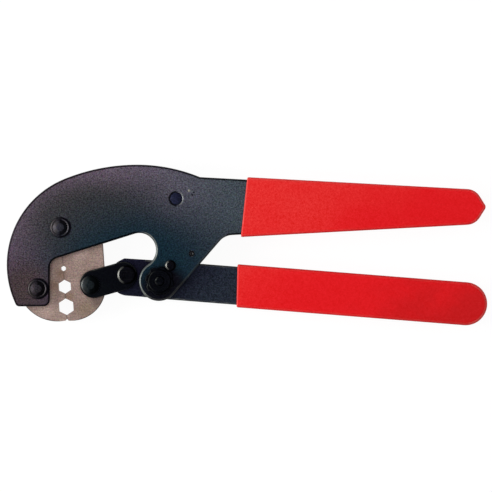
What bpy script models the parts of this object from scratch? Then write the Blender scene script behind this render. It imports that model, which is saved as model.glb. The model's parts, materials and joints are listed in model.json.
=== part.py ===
"""Hand crimping tool with a beaked frame of two plates, a toggle link and vinyl grips.

Lengths are in metres. The tool lies on its back: x runs along the grips, y towards the
upper grip and z out of the front plate. Every place is measured from the handle pivot.
"""

import bmesh
import bpy
from math import acos, asin, atan2, ceil, cos, hypot, pi, radians, sin, sqrt, tan
from mathutils import Matrix, Vector

# Linkage
JAW_PIVOT_BACK = 0.0439
JAW_PIVOT_UP = 0.0239
SPLIT_TILT = radians(4.0)
HANDLE_TILT = radians(-4.5)
TOGGLE_ARM = 0.01447
TOGGLE_RISE = 0.00164
LINK_PIN_INSET = 0.00675

# Layers, from the middle plane outwards
DIE_THICKNESS = 0.0060
LINK_THICKNESS = 0.0019
CHEEK_THICKNESS = 0.0025
BAR_THICKNESS = 0.0080
TONGUE_THICKNESS = 0.0022
FRONT_HEAD_HEIGHT = 0.0020
PIN_HEAD_HEIGHT = 0.0018
WHEEL_THICKNESS = 0.0014
LOCK_HEAD_HEIGHT = 0.0016
GRIP_STANDOFF = 0.0011

# Fits
SIDE_GAP = 0.0003
PIN_GAP = 0.0001
SPLIT_GAP = 0.0003
SWING_GAP = 0.0005
GRIP_FIT = 0.0003
NOSE_GAP = 0.00195
FOOT_GAP = 0.00149
LINK_PLAY = 0.0007
SHOULDER_GAP = 0.0012
NOTCH_GAP = 0.00025
FLUSH_DEPTH = 0.0004

# Hex cavities, across flats, and the lands between them
SMALL_HEX = 0.0021
MIDDLE_HEX = 0.00541
LARGE_HEX = 0.00648
FIRST_CAVITY = 0.0184
UPPER_LAND = 0.0038
LOWER_LAND = 0.0021
DIE_TOE = 0.0024
TOE_CHAMFER = 0.0006
EYE_RADIUS = 0.0085
JAW_BACK_START = 0.0055
SHOULDER_ROUND = 0.0040
DIE_ROUND = 0.0182
DIE_ROUND_OFFSET = 0.0030

# Cheek outline
HEAD_RADIUS = 0.0412
HEAD_CENTRE_AHEAD = 0.01738
HEAD_CENTRE_DOWN = 0.0166
CROWN_AHEAD = 0.0169
CROWN_RISE = 0.0033
CROWN_RADIUS = 0.0734
BEAK_DROP = 0.0352
BEAK_SETBACK = 0.00645
BEAK_HEEL_ROUND = 0.0018
BEAK_TIP_ROUND = 0.0030
BEAK_CORNER_ROUND = 0.0046
LIP_ANGLE = radians(17.5)
THROAT_RADIUS = 0.00755
THROAT_ANGLE = radians(122.5)
NECK_SETBACK = 0.0073
NECK_ROUND = 0.0078
CHEEK_EDGE = 0.0005

# Upper handle
UPPER_AXIS = 0.0330
MOUTH = 0.0365
MOUTH_SLANT = 0.0029
TANG_HALF_NECK = 0.0123
TANG_HALF_END = 0.0067
TANG_LENGTH = 0.1403
TANG_POINT = 0.0042
TANG_END_ROUND = 0.0058
TANG_POINT_ROUND = 0.0006
GRIP_EDGE = 0.0021

# Lower handle
BAR_WIDTH = 0.0170
BAR_OFFSET = 0.0006
NOSE_WIDTH = 0.0165
NOSE_REACH = 0.0139
NOSE_CORNER = radians(32.0)
BAR_LENGTH = 0.1456
LOWER_MOUTH = 0.0348
LOWER_MOUTH_SLANT = 0.00105
BAR_EDGE = 0.0008
LINK_WIDTH = 0.0125
LINK_END_INSET = 0.0016
LINK_EDGE = 0.0006

# Rivets, pins and the adjuster
RIVET_SHANK = 0.0026
RIVET_HEAD = 0.00445
RIVET_DOME = 0.0039
RIVET_FLANGE_HEIGHT = 0.0006
REAR_HEAD = 0.0043
RIVET_MARGIN = 0.0054
SPACER_RADIUS = 0.0048
SLEEVE_WALL = 0.0019
FRAME_RIVET_RADIUS = 0.0028
FRAME_RIVET_AHEAD = 0.0077
FRAME_RIVET_UP = 0.0367
TANG_RIVET_RADIUS = 0.0022
TANG_RIVET_FROM_MOUTH = 0.0250
TANG_RIVET_FROM_END = 0.0168
PIN_RADIUS = 0.0025
PIN_HEAD = 0.0042
STOP_PIN_RADIUS = 0.00135
STOP_PIN_AHEAD = 0.0146
STOP_PIN_UP = 0.0122
ECCENTRICITY = 0.0004
PIVOT_RADIUS = 0.0038
PIVOT_STEP = 0.0002
PIVOT_FLANGE = 0.0058
WASHER_RADIUS = 0.0064
STUB_RADIUS = 0.0021
WHEEL_RADIUS = 0.0065
WHEEL_NOTCHES = 8
NOTCH_DEPTH = 0.0007
LOCK_HEAD = 0.0024
LOCK_SHANK = 0.0014
LOCK_ANGLE = radians(55.0)
SLOT_WIDTH = 0.0006
SLOT_DEPTH = 0.0006

# Meshing
CHORD_ERROR = 0.00003
ROUND_STEPS = 24
SMALL_STEPS = 20
DOME_STEPS = 4
EDGE_STEPS = 1
GRIP_STEPS = 3
SHARP_ANGLE = radians(35.0)

# Layer faces
DIE_FACE = DIE_THICKNESS / 2
LINK_FACE = DIE_FACE + SIDE_GAP
LINK_OUTER = LINK_FACE + LINK_THICKNESS
CHEEK_INNER = LINK_OUTER + SIDE_GAP
CHEEK_OUTER = CHEEK_INNER + CHEEK_THICKNESS
REST_FACE = CHEEK_OUTER + GRIP_STANDOFF
BAR_FACE = BAR_THICKNESS / 2

# Places along the split of the dies, downwards from the jaw pivot
HEX_TIP = 1 / sqrt(3)
MIDDLE_CAVITY = FIRST_CAVITY + (SMALL_HEX + MIDDLE_HEX) * HEX_TIP + UPPER_LAND
LARGE_CAVITY = MIDDLE_CAVITY + (MIDDLE_HEX + LARGE_HEX) * HEX_TIP + LOWER_LAND
DIE_BOTTOM = LARGE_CAVITY + LARGE_HEX * HEX_TIP + DIE_TOE
CAVITIES = (
    (LARGE_CAVITY, LARGE_HEX),
    (MIDDLE_CAVITY, MIDDLE_HEX),
    (FIRST_CAVITY, SMALL_HEX),
)

JAW_PIVOT = Vector((-JAW_PIVOT_BACK, JAW_PIVOT_UP))
BAR_HALF = BAR_WIDTH / 2
NOSE_HALF = NOSE_WIDTH / 2
LINK_HALF = LINK_WIDTH / 2


def turn(x, y, angle):
    """A point turned about the origin."""
    return Vector((x * cos(angle) - y * sin(angle), x * sin(angle) + y * cos(angle)))


def polar(centre, radius, angle):
    """The point at an angle on a circle."""
    return Vector((centre[0] + radius * cos(angle), centre[1] + radius * sin(angle)))


def arc(centre, radius, start, end):
    """Points of an arc from one angle to another, with both ends."""
    sweep = end - start
    finest = 2 * acos(1 - min(1.0, CHORD_ERROR / radius))
    steps = max(2, ceil(abs(sweep) / finest))
    return [polar(centre, radius, start + sweep * i / steps) for i in range(steps + 1)]


def heading(from_point, to_point):
    """Angle of the line from one point to another."""
    return atan2(to_point[1] - from_point[1], to_point[0] - from_point[0])


def nearest_turn(start, end):
    """The end angle that lies within half a turn of the start."""
    while end - start > pi:
        end -= 2 * pi
    while end - start < -pi:
        end += 2 * pi
    return end


def fillet(before, corner, after, radius):
    """Points that round a corner between two straight lines."""
    to_before = (Vector(before) - Vector(corner)).normalized()
    to_after = (Vector(after) - Vector(corner)).normalized()
    half = to_before.angle(to_after) / 2
    middle = (to_before + to_after).normalized()
    centre = Vector(corner) + middle * (radius / sin(half))
    reach = radius / tan(half)
    first = heading(centre, Vector(corner) + to_before * reach)
    last = heading(centre, Vector(corner) + to_after * reach)
    return arc(centre, radius, first, nearest_turn(first, last))


def meet(point, angle, other_point, other_angle):
    """Where two lines cross, each given by a point and an angle."""
    gap = Vector(other_point) - Vector(point)
    across = sin(other_angle - angle)
    along = (gap.x * sin(other_angle) - gap.y * cos(other_angle)) / across
    return polar(point, along, angle)


def rounded(corners):
    """Closed outline from corners, each an x, a y and a radius."""
    outline = []
    count = len(corners)
    for i, (x, y, radius) in enumerate(corners):
        before = corners[i - 1][:2]
        after = corners[(i + 1) % count][:2]
        if radius > 0:
            outline += fillet(before, (x, y), after, radius)
        else:
            outline.append(Vector((x, y)))
    return outline


def distinct(outline):
    """The outline without repeated points."""
    kept = []
    for point in outline:
        if not kept or (point - kept[-1]).length > CHORD_ERROR / 10:
            kept.append(point)
    if (kept[0] - kept[-1]).length < CHORD_ERROR / 10:
        kept.pop()
    return kept


def split_place(across, down):
    """Tool place of a point given across and down the split of the dies."""
    return JAW_PIVOT + turn(across, -down, SPLIT_TILT)


def handle_place(along, up):
    """Tool place of a point given along the lower handle and above its pivot."""
    return turn(along, up, HANDLE_TILT)


def material(name, colour, metallic, roughness):
    """A plain Principled material."""
    made = bpy.data.materials.new(name)
    made.use_nodes = True
    shader = made.node_tree.nodes["Principled BSDF"]
    shader.inputs["Base Color"].default_value = (*colour, 1.0)
    shader.inputs["Metallic"].default_value = metallic
    shader.inputs["Roughness"].default_value = roughness
    return made


def empty(name, place, angle, parent):
    """An empty at a place in its parent, turned about z."""
    made = bpy.data.objects.new(name, None)
    bpy.context.scene.collection.objects.link(made)
    made.parent = parent
    made.location = (place[0], place[1], 0.0)
    made.rotation_euler = (0.0, 0.0, angle)
    return made


def add_object(name, mesh_data, parent, surface):
    """A mesh object from bmesh data, with its normals outwards."""
    bmesh.ops.recalc_face_normals(mesh_data, faces=mesh_data.faces)
    mesh = bpy.data.meshes.new(name)
    mesh_data.to_mesh(mesh)
    mesh_data.free()
    made = bpy.data.objects.new(name, mesh)
    bpy.context.scene.collection.objects.link(made)
    made.parent = parent
    if surface:
        mesh.materials.append(surface)
    mesh.shade_smooth()
    mesh.set_sharp_from_angle(angle=SHARP_ANGLE)
    return made


def add_prism(mesh_data, outline, low, high):
    """A straight prism over an outline."""
    points = distinct(outline)
    bottom = [mesh_data.verts.new((p.x, p.y, low)) for p in points]
    top = [mesh_data.verts.new((p.x, p.y, high)) for p in points]
    mesh_data.faces.new(bottom)
    mesh_data.faces.new(top)
    for i in range(len(points)):
        mesh_data.faces.new((bottom[i - 1], bottom[i], top[i], top[i - 1]))


def plate(name, outline, low, high, parent, surface, edge=0.0, steps=EDGE_STEPS):
    """A plate over an outline, with eased edges."""
    mesh_data = bmesh.new()
    add_prism(mesh_data, outline, low, high)
    made = add_object(name, mesh_data, parent, surface)
    if edge > 0:
        ease = made.modifiers.new("eased edges", "BEVEL")
        ease.width = edge
        ease.segments = steps
        ease.limit_method = "ANGLE"
        ease.angle_limit = SHARP_ANGLE
        ease.use_clamp_overlap = False
    return made


def turned(name, profile, place, parent, surface, steps=ROUND_STEPS):
    """A turned piece from a profile of radius and height, on an upright axis."""
    mesh_data = bmesh.new()
    points = [mesh_data.verts.new((r, 0.0, z)) for r, z in profile]
    edges = [mesh_data.edges.new((a, b)) for a, b in zip(points, points[1:])]
    if profile[0][0] > 0:
        edges.append(mesh_data.edges.new((points[-1], points[0])))
    bmesh.ops.spin(
        mesh_data, geom=points + edges, cent=(0, 0, 0), axis=(0, 0, 1),
        angle=2 * pi, steps=steps, use_merge=True,
    )
    bmesh.ops.remove_doubles(mesh_data, verts=mesh_data.verts, dist=CHORD_ERROR / 10)
    bmesh.ops.translate(mesh_data, verts=mesh_data.verts, vec=(place[0], place[1], 0.0))
    return add_object(name, mesh_data, parent, surface)


def ring(name, inner, outer, low, high, place, parent, surface):
    """A washer or a sleeve."""
    profile = [(inner, low), (outer, low), (outer, high), (inner, high)]
    return turned(name, profile, place, parent, surface, SMALL_STEPS)


def combine(piece, name, tool_data, operation):
    """Change a piece by the bodies in some bmesh data."""
    helper = add_object(name, tool_data, piece.parent, None)
    helper.hide_render = True
    helper.display_type = "WIRE"
    boolean = piece.modifiers.new(name, "BOOLEAN")
    boolean.operation = operation
    boolean.solver = "EXACT"
    boolean.object = helper


def cut(piece, name, cutter_data):
    """Cut a piece by the bodies in some bmesh data."""
    combine(piece, name, cutter_data, "DIFFERENCE")


def add_drill(mesh_data, place, radius, low, high, steps=ROUND_STEPS):
    """A round cutter body."""
    middle = Matrix.Translation((place[0], place[1], (low + high) / 2))
    bmesh.ops.create_cone(
        mesh_data, cap_ends=True, segments=steps, radius1=radius, radius2=radius,
        depth=high - low, matrix=middle,
    )


def add_block(mesh_data, low_corner, high_corner):
    """A box cutter body between two corners."""
    size = [b - a for a, b in zip(low_corner, high_corner)]
    middle = [(a + b) / 2 for a, b in zip(low_corner, high_corner)]
    shape = Matrix.Translation(middle) @ Matrix.Diagonal((*size, 1.0))
    bmesh.ops.create_cube(mesh_data, size=1.0, matrix=shape)


def domed_profile(shank, flange, dome, low, face, height, rear_radius, rear_low):
    """Rivet profile: flat rear head, shank, front flange and dome."""
    rise = height - RIVET_FLANGE_HEIGHT
    sphere = (dome * dome + rise * rise) / (2 * rise)
    base = face + RIVET_FLANGE_HEIGHT
    profile = [(0.0, rear_low), (rear_radius - SIDE_GAP, rear_low)]
    profile += [(rear_radius, rear_low + SIDE_GAP), (rear_radius, low)]
    profile += [(shank, low), (shank, face), (flange, face), (flange, base)]
    opening = asin(min(1.0, dome / sphere))
    for i in range(DOME_STEPS):
        angle = opening * (1 - i / DOME_STEPS)
        profile.append((sphere * sin(angle), base + rise - sphere * (1 - cos(angle))))
    profile.append((0.0, base + rise))
    return profile


# Upper handle lines, shared by both cheeks and the grip
TANG_SLOPE = atan2(TANG_HALF_NECK - TANG_HALF_END, TANG_LENGTH - MOUTH)


def tang_half(x):
    """Half width of the tang at a place along it."""
    return TANG_HALF_NECK - (x - MOUTH) * tan(TANG_SLOPE)


def tang_corners(start, offset):
    """Corners of the upper handle from a start line on, grown by an offset."""
    lean = atan2(TANG_HALF_END, TANG_POINT)
    grow = offset / cos(TANG_SLOPE)
    point = TANG_LENGTH + TANG_POINT + offset / sin(lean)
    half_start = tang_half(start) + grow
    top_line = ((start, half_start), -TANG_SLOPE)
    end = meet(*top_line, (point, 0.0), pi - lean)
    round_end = TANG_END_ROUND + offset
    return half_start, [
        (end.x, UPPER_AXIS + end.y, round_end),
        (point, UPPER_AXIS, TANG_POINT_ROUND + offset),
        (end.x, UPPER_AXIS - end.y, round_end),
    ]


def cheek_outline():
    """The frame plate, clockwise from the heel of the beak."""
    head = JAW_PIVOT + Vector((HEAD_CENTRE_AHEAD, -HEAD_CENTRE_DOWN))
    crown = head + Vector((CROWN_AHEAD, HEAD_RADIUS + CROWN_RISE))
    rise = 2 * HEAD_RADIUS * CROWN_RISE + CROWN_RISE ** 2
    brow_radius = (CROWN_AHEAD ** 2 + rise) / (2 * CROWN_RISE)
    brow = crown - Vector((0.0, brow_radius))
    brow_angle = heading(brow, head)
    beak_bottom = JAW_PIVOT.y - BEAK_DROP
    beak_edge = split_place(0.0, MIDDLE_CAVITY).x - BEAK_SETBACK

    # Heel of the beak, rounded between the head arc and the flat bottom
    heel_reach = HEAD_RADIUS - BEAK_HEEL_ROUND
    heel_y = beak_bottom + BEAK_HEEL_ROUND
    heel = Vector((head.x - sqrt(heel_reach ** 2 - (heel_y - head.y) ** 2), heel_y))
    heel_angle = heading(head, heel) + 2 * pi
    outline = arc(heel, BEAK_HEEL_ROUND, 1.5 * pi, heel_angle)
    outline += arc(head, HEAD_RADIUS, heel_angle, brow_angle)
    outline += arc(brow, brow_radius, brow_angle, pi / 2)

    # Down the crown to the straight top of the tang
    dome = crown - Vector((0.0, CROWN_RADIUS))
    line_point = Vector((MOUTH, UPPER_AXIS + TANG_HALF_NECK))
    normal = Vector((sin(TANG_SLOPE), cos(TANG_SLOPE)))
    shoulder = acos((line_point - dome).dot(normal) / CROWN_RADIUS)
    outline += arc(dome, CROWN_RADIUS, pi / 2, pi / 2 - TANG_SLOPE - shoulder)

    # Round the end of the tang and back to the neck
    neck_x = MOUTH - NECK_SETBACK
    neck = Vector((neck_x, UPPER_AXIS - tang_half(neck_x)))
    ends = tang_corners(MOUTH, 0.0)[1]
    chain = [outline[-1]] + [Vector(end[:2]) for end in ends] + [neck]
    for i, end in enumerate(ends):
        outline += fillet(chain[i], chain[i + 1], chain[i + 2], end[2])

    # Neck, foot, throat and lip
    pivot = Vector((0.0, 0.0))
    foot_radius = hypot(TOGGLE_ARM, TOGGLE_RISE) - PIN_HEAD - FOOT_GAP
    leave = heading(pivot, neck) - acos(foot_radius / neck.length)
    touch = polar(pivot, foot_radius, leave)
    outline += fillet(chain[-2], neck, touch, NECK_ROUND)
    outline += arc(pivot, foot_radius, leave, THROAT_ANGLE - 2 * pi)
    throat = polar(pivot, foot_radius + THROAT_RADIUS, THROAT_ANGLE)
    outline += arc(throat, THROAT_RADIUS, THROAT_ANGLE - pi, LIP_ANGLE + pi / 2)
    lip = polar(throat, THROAT_RADIUS, LIP_ANGLE + pi / 2)
    corner = meet(lip, LIP_ANGLE, (beak_edge, 0.0), pi / 2)
    tip = Vector((beak_edge, beak_bottom))
    outline += fillet(lip, corner, tip, BEAK_CORNER_ROUND)
    outline += fillet(corner, tip, (heel.x, beak_bottom), BEAK_TIP_ROUND)
    return outline


def split_edge(side):
    """The face of one die along the split, upwards from its toe, with its cavities."""
    face = side * SPLIT_GAP / 2
    trim = abs(face) * HEX_TIP
    edge = [Vector((face + side * TOE_CHAMFER, -DIE_BOTTOM))]
    edge.append(Vector((face, TOE_CHAMFER - DIE_BOTTOM)))
    for down, flats in CAVITIES:
        tip = flats * HEX_TIP
        edge.append(Vector((face, trim - down - tip)))
        edge.append(Vector((side * flats / 2, -down - tip / 2)))
        edge.append(Vector((side * flats / 2, -down + tip / 2)))
        edge.append(Vector((face, -trim - down + tip)))
    edge.append(Vector((face, -sqrt(EYE_RADIUS ** 2 - face ** 2))))
    return edge


def moving_jaw_outline(width):
    """The moving jaw: split, eye, back and round toe."""
    drop = DIE_BOTTOM - MIDDLE_CAVITY
    toe_radius = (drop ** 2 + width ** 2) / (2 * width)
    toe = Vector((width - toe_radius, -MIDDLE_CAVITY))
    outline = split_edge(1)
    shoulder = Vector((width - SHOULDER_ROUND, -JAW_BACK_START))
    lean = acos((EYE_RADIUS - SHOULDER_ROUND) / shoulder.length)
    leave = heading((0, 0), shoulder) + lean
    outline += arc((0, 0), EYE_RADIUS, 1.5 * pi, leave)[1:]
    outline += arc(shoulder, SHOULDER_ROUND, leave, 0.0)
    outline += arc(toe, toe_radius, 0.0, heading(toe, outline[0]))
    return outline


def fixed_die_outline():
    """The fixed die: split, eye, back under the beak and round toe."""
    outline = split_edge(-1)
    start = outline[0]
    reach = sqrt(DIE_ROUND ** 2 - (start.x + DIE_ROUND_OFFSET) ** 2)
    centre = Vector((-DIE_ROUND_OFFSET, start.y + reach))
    lean = acos((DIE_ROUND - EYE_RADIUS) / centre.length)
    back = heading((0, 0), centre) - lean + 2 * pi
    outline += arc((0, 0), EYE_RADIUS, 1.5 * pi, back + 2 * pi)[1:]
    outline += arc(centre, DIE_ROUND, back, heading(centre, start) + 2 * pi)
    return outline


def capsule(start, end, radius):
    """An outline with round ends along x."""
    outline = arc((end, 0.0), radius, -pi / 2, pi / 2)
    outline += arc((start, 0.0), radius, pi / 2, 1.5 * pi)
    return outline


def wheel_outline(screw_distance, notch_radius):
    """A round wheel with scallops that fit the head of the lock screw."""
    near = (WHEEL_RADIUS ** 2 + screw_distance ** 2 - notch_radius ** 2)
    half = acos(near / (2 * WHEEL_RADIUS * screw_distance))
    pitch = 2 * pi / WHEEL_NOTCHES
    outline = []
    for i in range(WHEEL_NOTCHES):
        angle = LOCK_ANGLE + i * pitch
        centre = polar((0, 0), screw_distance, angle)
        first = heading(centre, polar((0, 0), WHEEL_RADIUS, angle - half))
        last = heading(centre, polar((0, 0), WHEEL_RADIUS, angle + half))
        outline += arc(centre, notch_radius, first, nearest_turn(first, last))
        outline += arc((0, 0), WHEEL_RADIUS, angle + half, angle + pitch - half)
    return outline


for old in list(bpy.data.objects):
    bpy.data.objects.remove(old)

black_steel = material("black steel", (0.035, 0.037, 0.043), 0.85, 0.42)
die_steel = material("die steel", (0.33, 0.27, 0.25), 0.9, 0.45)
pin_steel = material("pin steel", (0.06, 0.065, 0.075), 0.9, 0.38)
plain_steel = material("plain steel", (0.30, 0.30, 0.31), 0.9, 0.4)
red_vinyl = material("red vinyl", (0.72, 0.025, 0.028), 0.0, 0.42)

# Places that tie the pieces together
nose = handle_place(-NOSE_REACH, BAR_OFFSET)
jaw_width = (nose - JAW_PIVOT).dot(turn(1.0, 0.0, SPLIT_TILT)) - NOSE_HALF - NOSE_GAP
link_pin_across = jaw_width - LINK_PIN_INSET
link_pin = split_place(link_pin_across, MIDDLE_CAVITY)
toggle_pin = handle_place(-TOGGLE_ARM, TOGGLE_RISE)
link_angle = heading(link_pin, toggle_pin)
link_length = (toggle_pin - link_pin).length
die_rivet = (-BEAK_SETBACK - RIVET_MARGIN, -MIDDLE_CAVITY)
die_rivet_place = split_place(die_rivet[0], MIDDLE_CAVITY)
frame_rivet = (FRAME_RIVET_AHEAD, FRAME_RIVET_UP)
tang_rivets = [
    (MOUTH + TANG_RIVET_FROM_MOUTH, UPPER_AXIS),
    (TANG_LENGTH - TANG_RIVET_FROM_END, UPPER_AXIS),
]
stop_pin = (STOP_PIN_AHEAD, STOP_PIN_UP)
journal = (ECCENTRICITY, 0.0)
front_journal = PIVOT_RADIUS - ECCENTRICITY - PIVOT_STEP
rear_journal = PIVOT_RADIUS + ECCENTRICITY + PIVOT_STEP
notch_radius = LOCK_HEAD + NOTCH_GAP
lock_distance = WHEEL_RADIUS - NOTCH_DEPTH + notch_radius
lock_screw = polar(journal, lock_distance, LOCK_ANGLE)

# The box of the whole tool, which is centred over the origin
end_left = JAW_PIVOT.x + HEAD_CENTRE_AHEAD - HEAD_RADIUS
bar_end = handle_place(BAR_LENGTH - BAR_HALF, BAR_OFFSET)
end_right = bar_end.x + BAR_HALF + GRIP_STANDOFF
end_top = JAW_PIVOT.y - HEAD_CENTRE_DOWN + HEAD_RADIUS + CROWN_RISE
end_bottom = bar_end.y - BAR_HALF - GRIP_STANDOFF
middle = (-(end_left + end_right) / 2, -(end_top + end_bottom) / 2)

tool = empty("tool", middle, 0.0, None)
tool.location.z = REST_FACE
head_frame = empty("head frame", JAW_PIVOT, SPLIT_TILT, tool)
jaw_frame = empty("jaw hinge", JAW_PIVOT, SPLIT_TILT, tool)
handle_frame = empty("handle hinge", (0.0, 0.0), HANDLE_TILT, tool)
link_frame = empty("link hinge", link_pin, link_angle, tool)

# Cheeks
cheek_shape = cheek_outline()
for name, low, high, pivot_radius in (
    ("front_cheek", CHEEK_INNER, CHEEK_OUTER, front_journal),
    ("rear_cheek", -CHEEK_OUTER, -CHEEK_INNER, rear_journal),
):
    cheek = plate(name, cheek_shape, low, high, tool, black_steel, CHEEK_EDGE)
    drills = bmesh.new()
    holes = [
        (JAW_PIVOT, RIVET_SHANK), (die_rivet_place, RIVET_SHANK),
        (frame_rivet, FRAME_RIVET_RADIUS), (journal, pivot_radius),
        (stop_pin, STOP_PIN_RADIUS), (tang_rivets[0], TANG_RIVET_RADIUS),
        (tang_rivets[1], TANG_RIVET_RADIUS),
    ]
    if name == "front_cheek":
        holes.append((lock_screw, LOCK_SHANK))
    for place, radius in holes:
        add_drill(drills, place, radius + PIN_GAP, low - SIDE_GAP, high + SIDE_GAP)
    cut(cheek, name + " drills", drills)

# Dies: the jaw has a middle tongue that turns in a fork of the fixed die
eye_clear = EYE_RADIUS + SWING_GAP
tongue_face = TONGUE_THICKNESS / 2
fork_face = tongue_face + SIDE_GAP
fixed_die = plate(
    "fixed_die", fixed_die_outline(), -DIE_FACE, DIE_FACE, head_frame, die_steel,
)
fork = bmesh.new()
add_drill(fork, (0, 0), eye_clear, -fork_face, fork_face)
cut(fixed_die, "fork", fork)
die_drills = bmesh.new()
for place in ((0.0, 0.0), die_rivet):
    add_drill(die_drills, place, RIVET_SHANK + PIN_GAP, -CHEEK_INNER, CHEEK_INNER)
cut(fixed_die, "die drills", die_drills)

moving_jaw = plate(
    "moving_jaw", moving_jaw_outline(jaw_width), -DIE_FACE, DIE_FACE, jaw_frame, die_steel,
)
cheeks_of_tongue = bmesh.new()
add_drill(cheeks_of_tongue, (0, 0), eye_clear, tongue_face, CHEEK_INNER)
add_drill(cheeks_of_tongue, (0, 0), eye_clear, -CHEEK_INNER, -tongue_face)
cut(moving_jaw, "tongue", cheeks_of_tongue)
jaw_drills = bmesh.new()
add_drill(jaw_drills, (0.0, 0.0), RIVET_SHANK + PIN_GAP, -CHEEK_INNER, CHEEK_INNER)
link_pin_in_jaw = (link_pin_across, -MIDDLE_CAVITY)
add_drill(jaw_drills, link_pin_in_jaw, PIN_RADIUS + PIN_GAP, -CHEEK_INNER, CHEEK_INNER)
cut(moving_jaw, "jaw drills", jaw_drills)

# Rivets through the head, and the spacers between the dies and the cheeks
rivet_shape = domed_profile(
    RIVET_SHANK, RIVET_HEAD, RIVET_DOME, -CHEEK_OUTER - PIN_GAP, CHEEK_OUTER + PIN_GAP,
    FRONT_HEAD_HEIGHT, REAR_HEAD, -REST_FACE,
)
turned("jaw_pivot_rivet", rivet_shape, JAW_PIVOT, tool, pin_steel)
turned("die_rivet", rivet_shape, die_rivet_place, tool, pin_steel)
spacer_low = DIE_FACE + SIDE_GAP
spacer_high = CHEEK_INNER - SIDE_GAP
for label, place in (("jaw", JAW_PIVOT), ("die", die_rivet_place)):
    for end, low, high in (
        ("front", spacer_low, spacer_high), ("rear", -spacer_high, -spacer_low),
    ):
        ring(
            label + "_spacer_" + end, RIVET_SHANK + PIN_GAP, SPACER_RADIUS, low, high,
            place, tool, plain_steel,
        )

# Flush rivets and the sleeves that keep the cheeks apart, and the pin that stops the handle
for label, place, radius in (
    ("frame_rivet", frame_rivet, FRAME_RIVET_RADIUS),
    ("tang_rivet_inner", tang_rivets[0], TANG_RIVET_RADIUS),
    ("tang_rivet_outer", tang_rivets[1], TANG_RIVET_RADIUS),
    ("stop_pin", stop_pin, STOP_PIN_RADIUS),
):
    flush = CHEEK_OUTER - FLUSH_DEPTH
    rim = radius - FLUSH_DEPTH / 2
    shape = [(0.0, -flush), (rim, -flush), (radius, -flush + FLUSH_DEPTH / 2)]
    shape += [(radius, flush - FLUSH_DEPTH / 2), (rim, flush), (0.0, flush)]
    turned(label, shape, place, tool, pin_steel, SMALL_STEPS)
    if "rivet" in label:
        ring(
            label.replace("rivet", "spacer"), radius + PIN_GAP, radius + SLEEVE_WALL,
            -spacer_high, spacer_high, place, tool, plain_steel,
        )

# Handle pivot: a stepped pin, eccentric where the handle turns on it
wheel_low = CHEEK_OUTER + SIDE_GAP
wheel_high = wheel_low + WHEEL_THICKNESS
bearing = BAR_FACE + SIDE_GAP
pivot_shape = [
    (0.0, -REST_FACE), (PIVOT_FLANGE, -REST_FACE), (PIVOT_FLANGE, -CHEEK_OUTER - PIN_GAP),
    (rear_journal, -CHEEK_OUTER - PIN_GAP), (rear_journal, -bearing),
    (front_journal, -bearing), (front_journal, CHEEK_OUTER),
    (STUB_RADIUS, CHEEK_OUTER), (STUB_RADIUS, wheel_high), (0.0, wheel_high),
]
eccentric_pin = turned("eccentric_pin", pivot_shape, journal, tool, pin_steel)
lobe_data = bmesh.new()
add_drill(lobe_data, (0.0, 0.0), PIVOT_RADIUS, -bearing - SIDE_GAP, bearing)
combine(eccentric_pin, "lobe", lobe_data, "UNION")
pin_slot = bmesh.new()
add_block(
    pin_slot, (journal[0] - PIVOT_RADIUS, -SLOT_WIDTH / 2, wheel_high - SLOT_DEPTH),
    (journal[0] + PIVOT_RADIUS, SLOT_WIDTH / 2, wheel_high + SLOT_DEPTH),
)
cut(eccentric_pin, "pin slot", pin_slot)

wheel_shape = [p + Vector(journal) for p in wheel_outline(lock_distance, notch_radius)]
wheel = plate("adjuster_wheel", wheel_shape, wheel_low, wheel_high, tool, pin_steel)
wheel_bore = bmesh.new()
add_drill(wheel_bore, journal, STUB_RADIUS + PIN_GAP, CHEEK_OUTER, wheel_high + SIDE_GAP)
cut(wheel, "wheel bore", wheel_bore)

washer_low = BAR_FACE + SIDE_GAP
washer_high = CHEEK_INNER - SIDE_GAP
ring(
    "pivot_washer_front", front_journal + PIN_GAP, WASHER_RADIUS, washer_low, washer_high,
    journal, tool, plain_steel,
)
ring(
    "pivot_washer_rear", rear_journal + PIN_GAP, WASHER_RADIUS, -washer_high, -washer_low,
    journal, tool, plain_steel,
)

lock_top = wheel_low + LOCK_HEAD_HEIGHT
lock_shape = [
    (0.0, CHEEK_INNER), (LOCK_SHANK, CHEEK_INNER), (LOCK_SHANK, wheel_low),
    (LOCK_HEAD, wheel_low), (LOCK_HEAD, lock_top - SIDE_GAP),
    (LOCK_HEAD - SIDE_GAP, lock_top), (0.0, lock_top),
]
locker = turned("lock_screw", lock_shape, lock_screw, tool, pin_steel, SMALL_STEPS)
screw_slot = bmesh.new()
add_block(
    screw_slot,
    (lock_screw.x - SLOT_WIDTH / 2, lock_screw.y - 2 * LOCK_HEAD, lock_top - SLOT_DEPTH),
    (lock_screw.x + SLOT_WIDTH / 2, lock_screw.y + 2 * LOCK_HEAD, lock_top + SLOT_DEPTH),
)
cut(locker, "screw slot", screw_slot)

# Upper grip, a sleeve that is trimmed at its slanted mouth and hollowed
trim_start = MOUTH - 2 * GRIP_EDGE
grip_half, grip_ends = tang_corners(trim_start, GRIP_STANDOFF)
grip_outline = rounded(
    [(trim_start, UPPER_AXIS + grip_half, 0.0)] + grip_ends
    + [(trim_start, UPPER_AXIS - grip_half, 0.0)]
)
upper_grip = plate(
    "upper_grip", grip_outline, -REST_FACE, REST_FACE, tool, red_vinyl, GRIP_EDGE, GRIP_STEPS,
)
trim_left = trim_start - GRIP_EDGE
mouth_outline = [
    Vector((trim_left, UPPER_AXIS - 2 * grip_half)),
    Vector((MOUTH - MOUTH_SLANT / 2, UPPER_AXIS - 2 * grip_half)),
    Vector((MOUTH + MOUTH_SLANT * 3 / 2, UPPER_AXIS + 2 * grip_half)),
    Vector((trim_left, UPPER_AXIS + 2 * grip_half)),
]
mouth_trim = bmesh.new()
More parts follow.
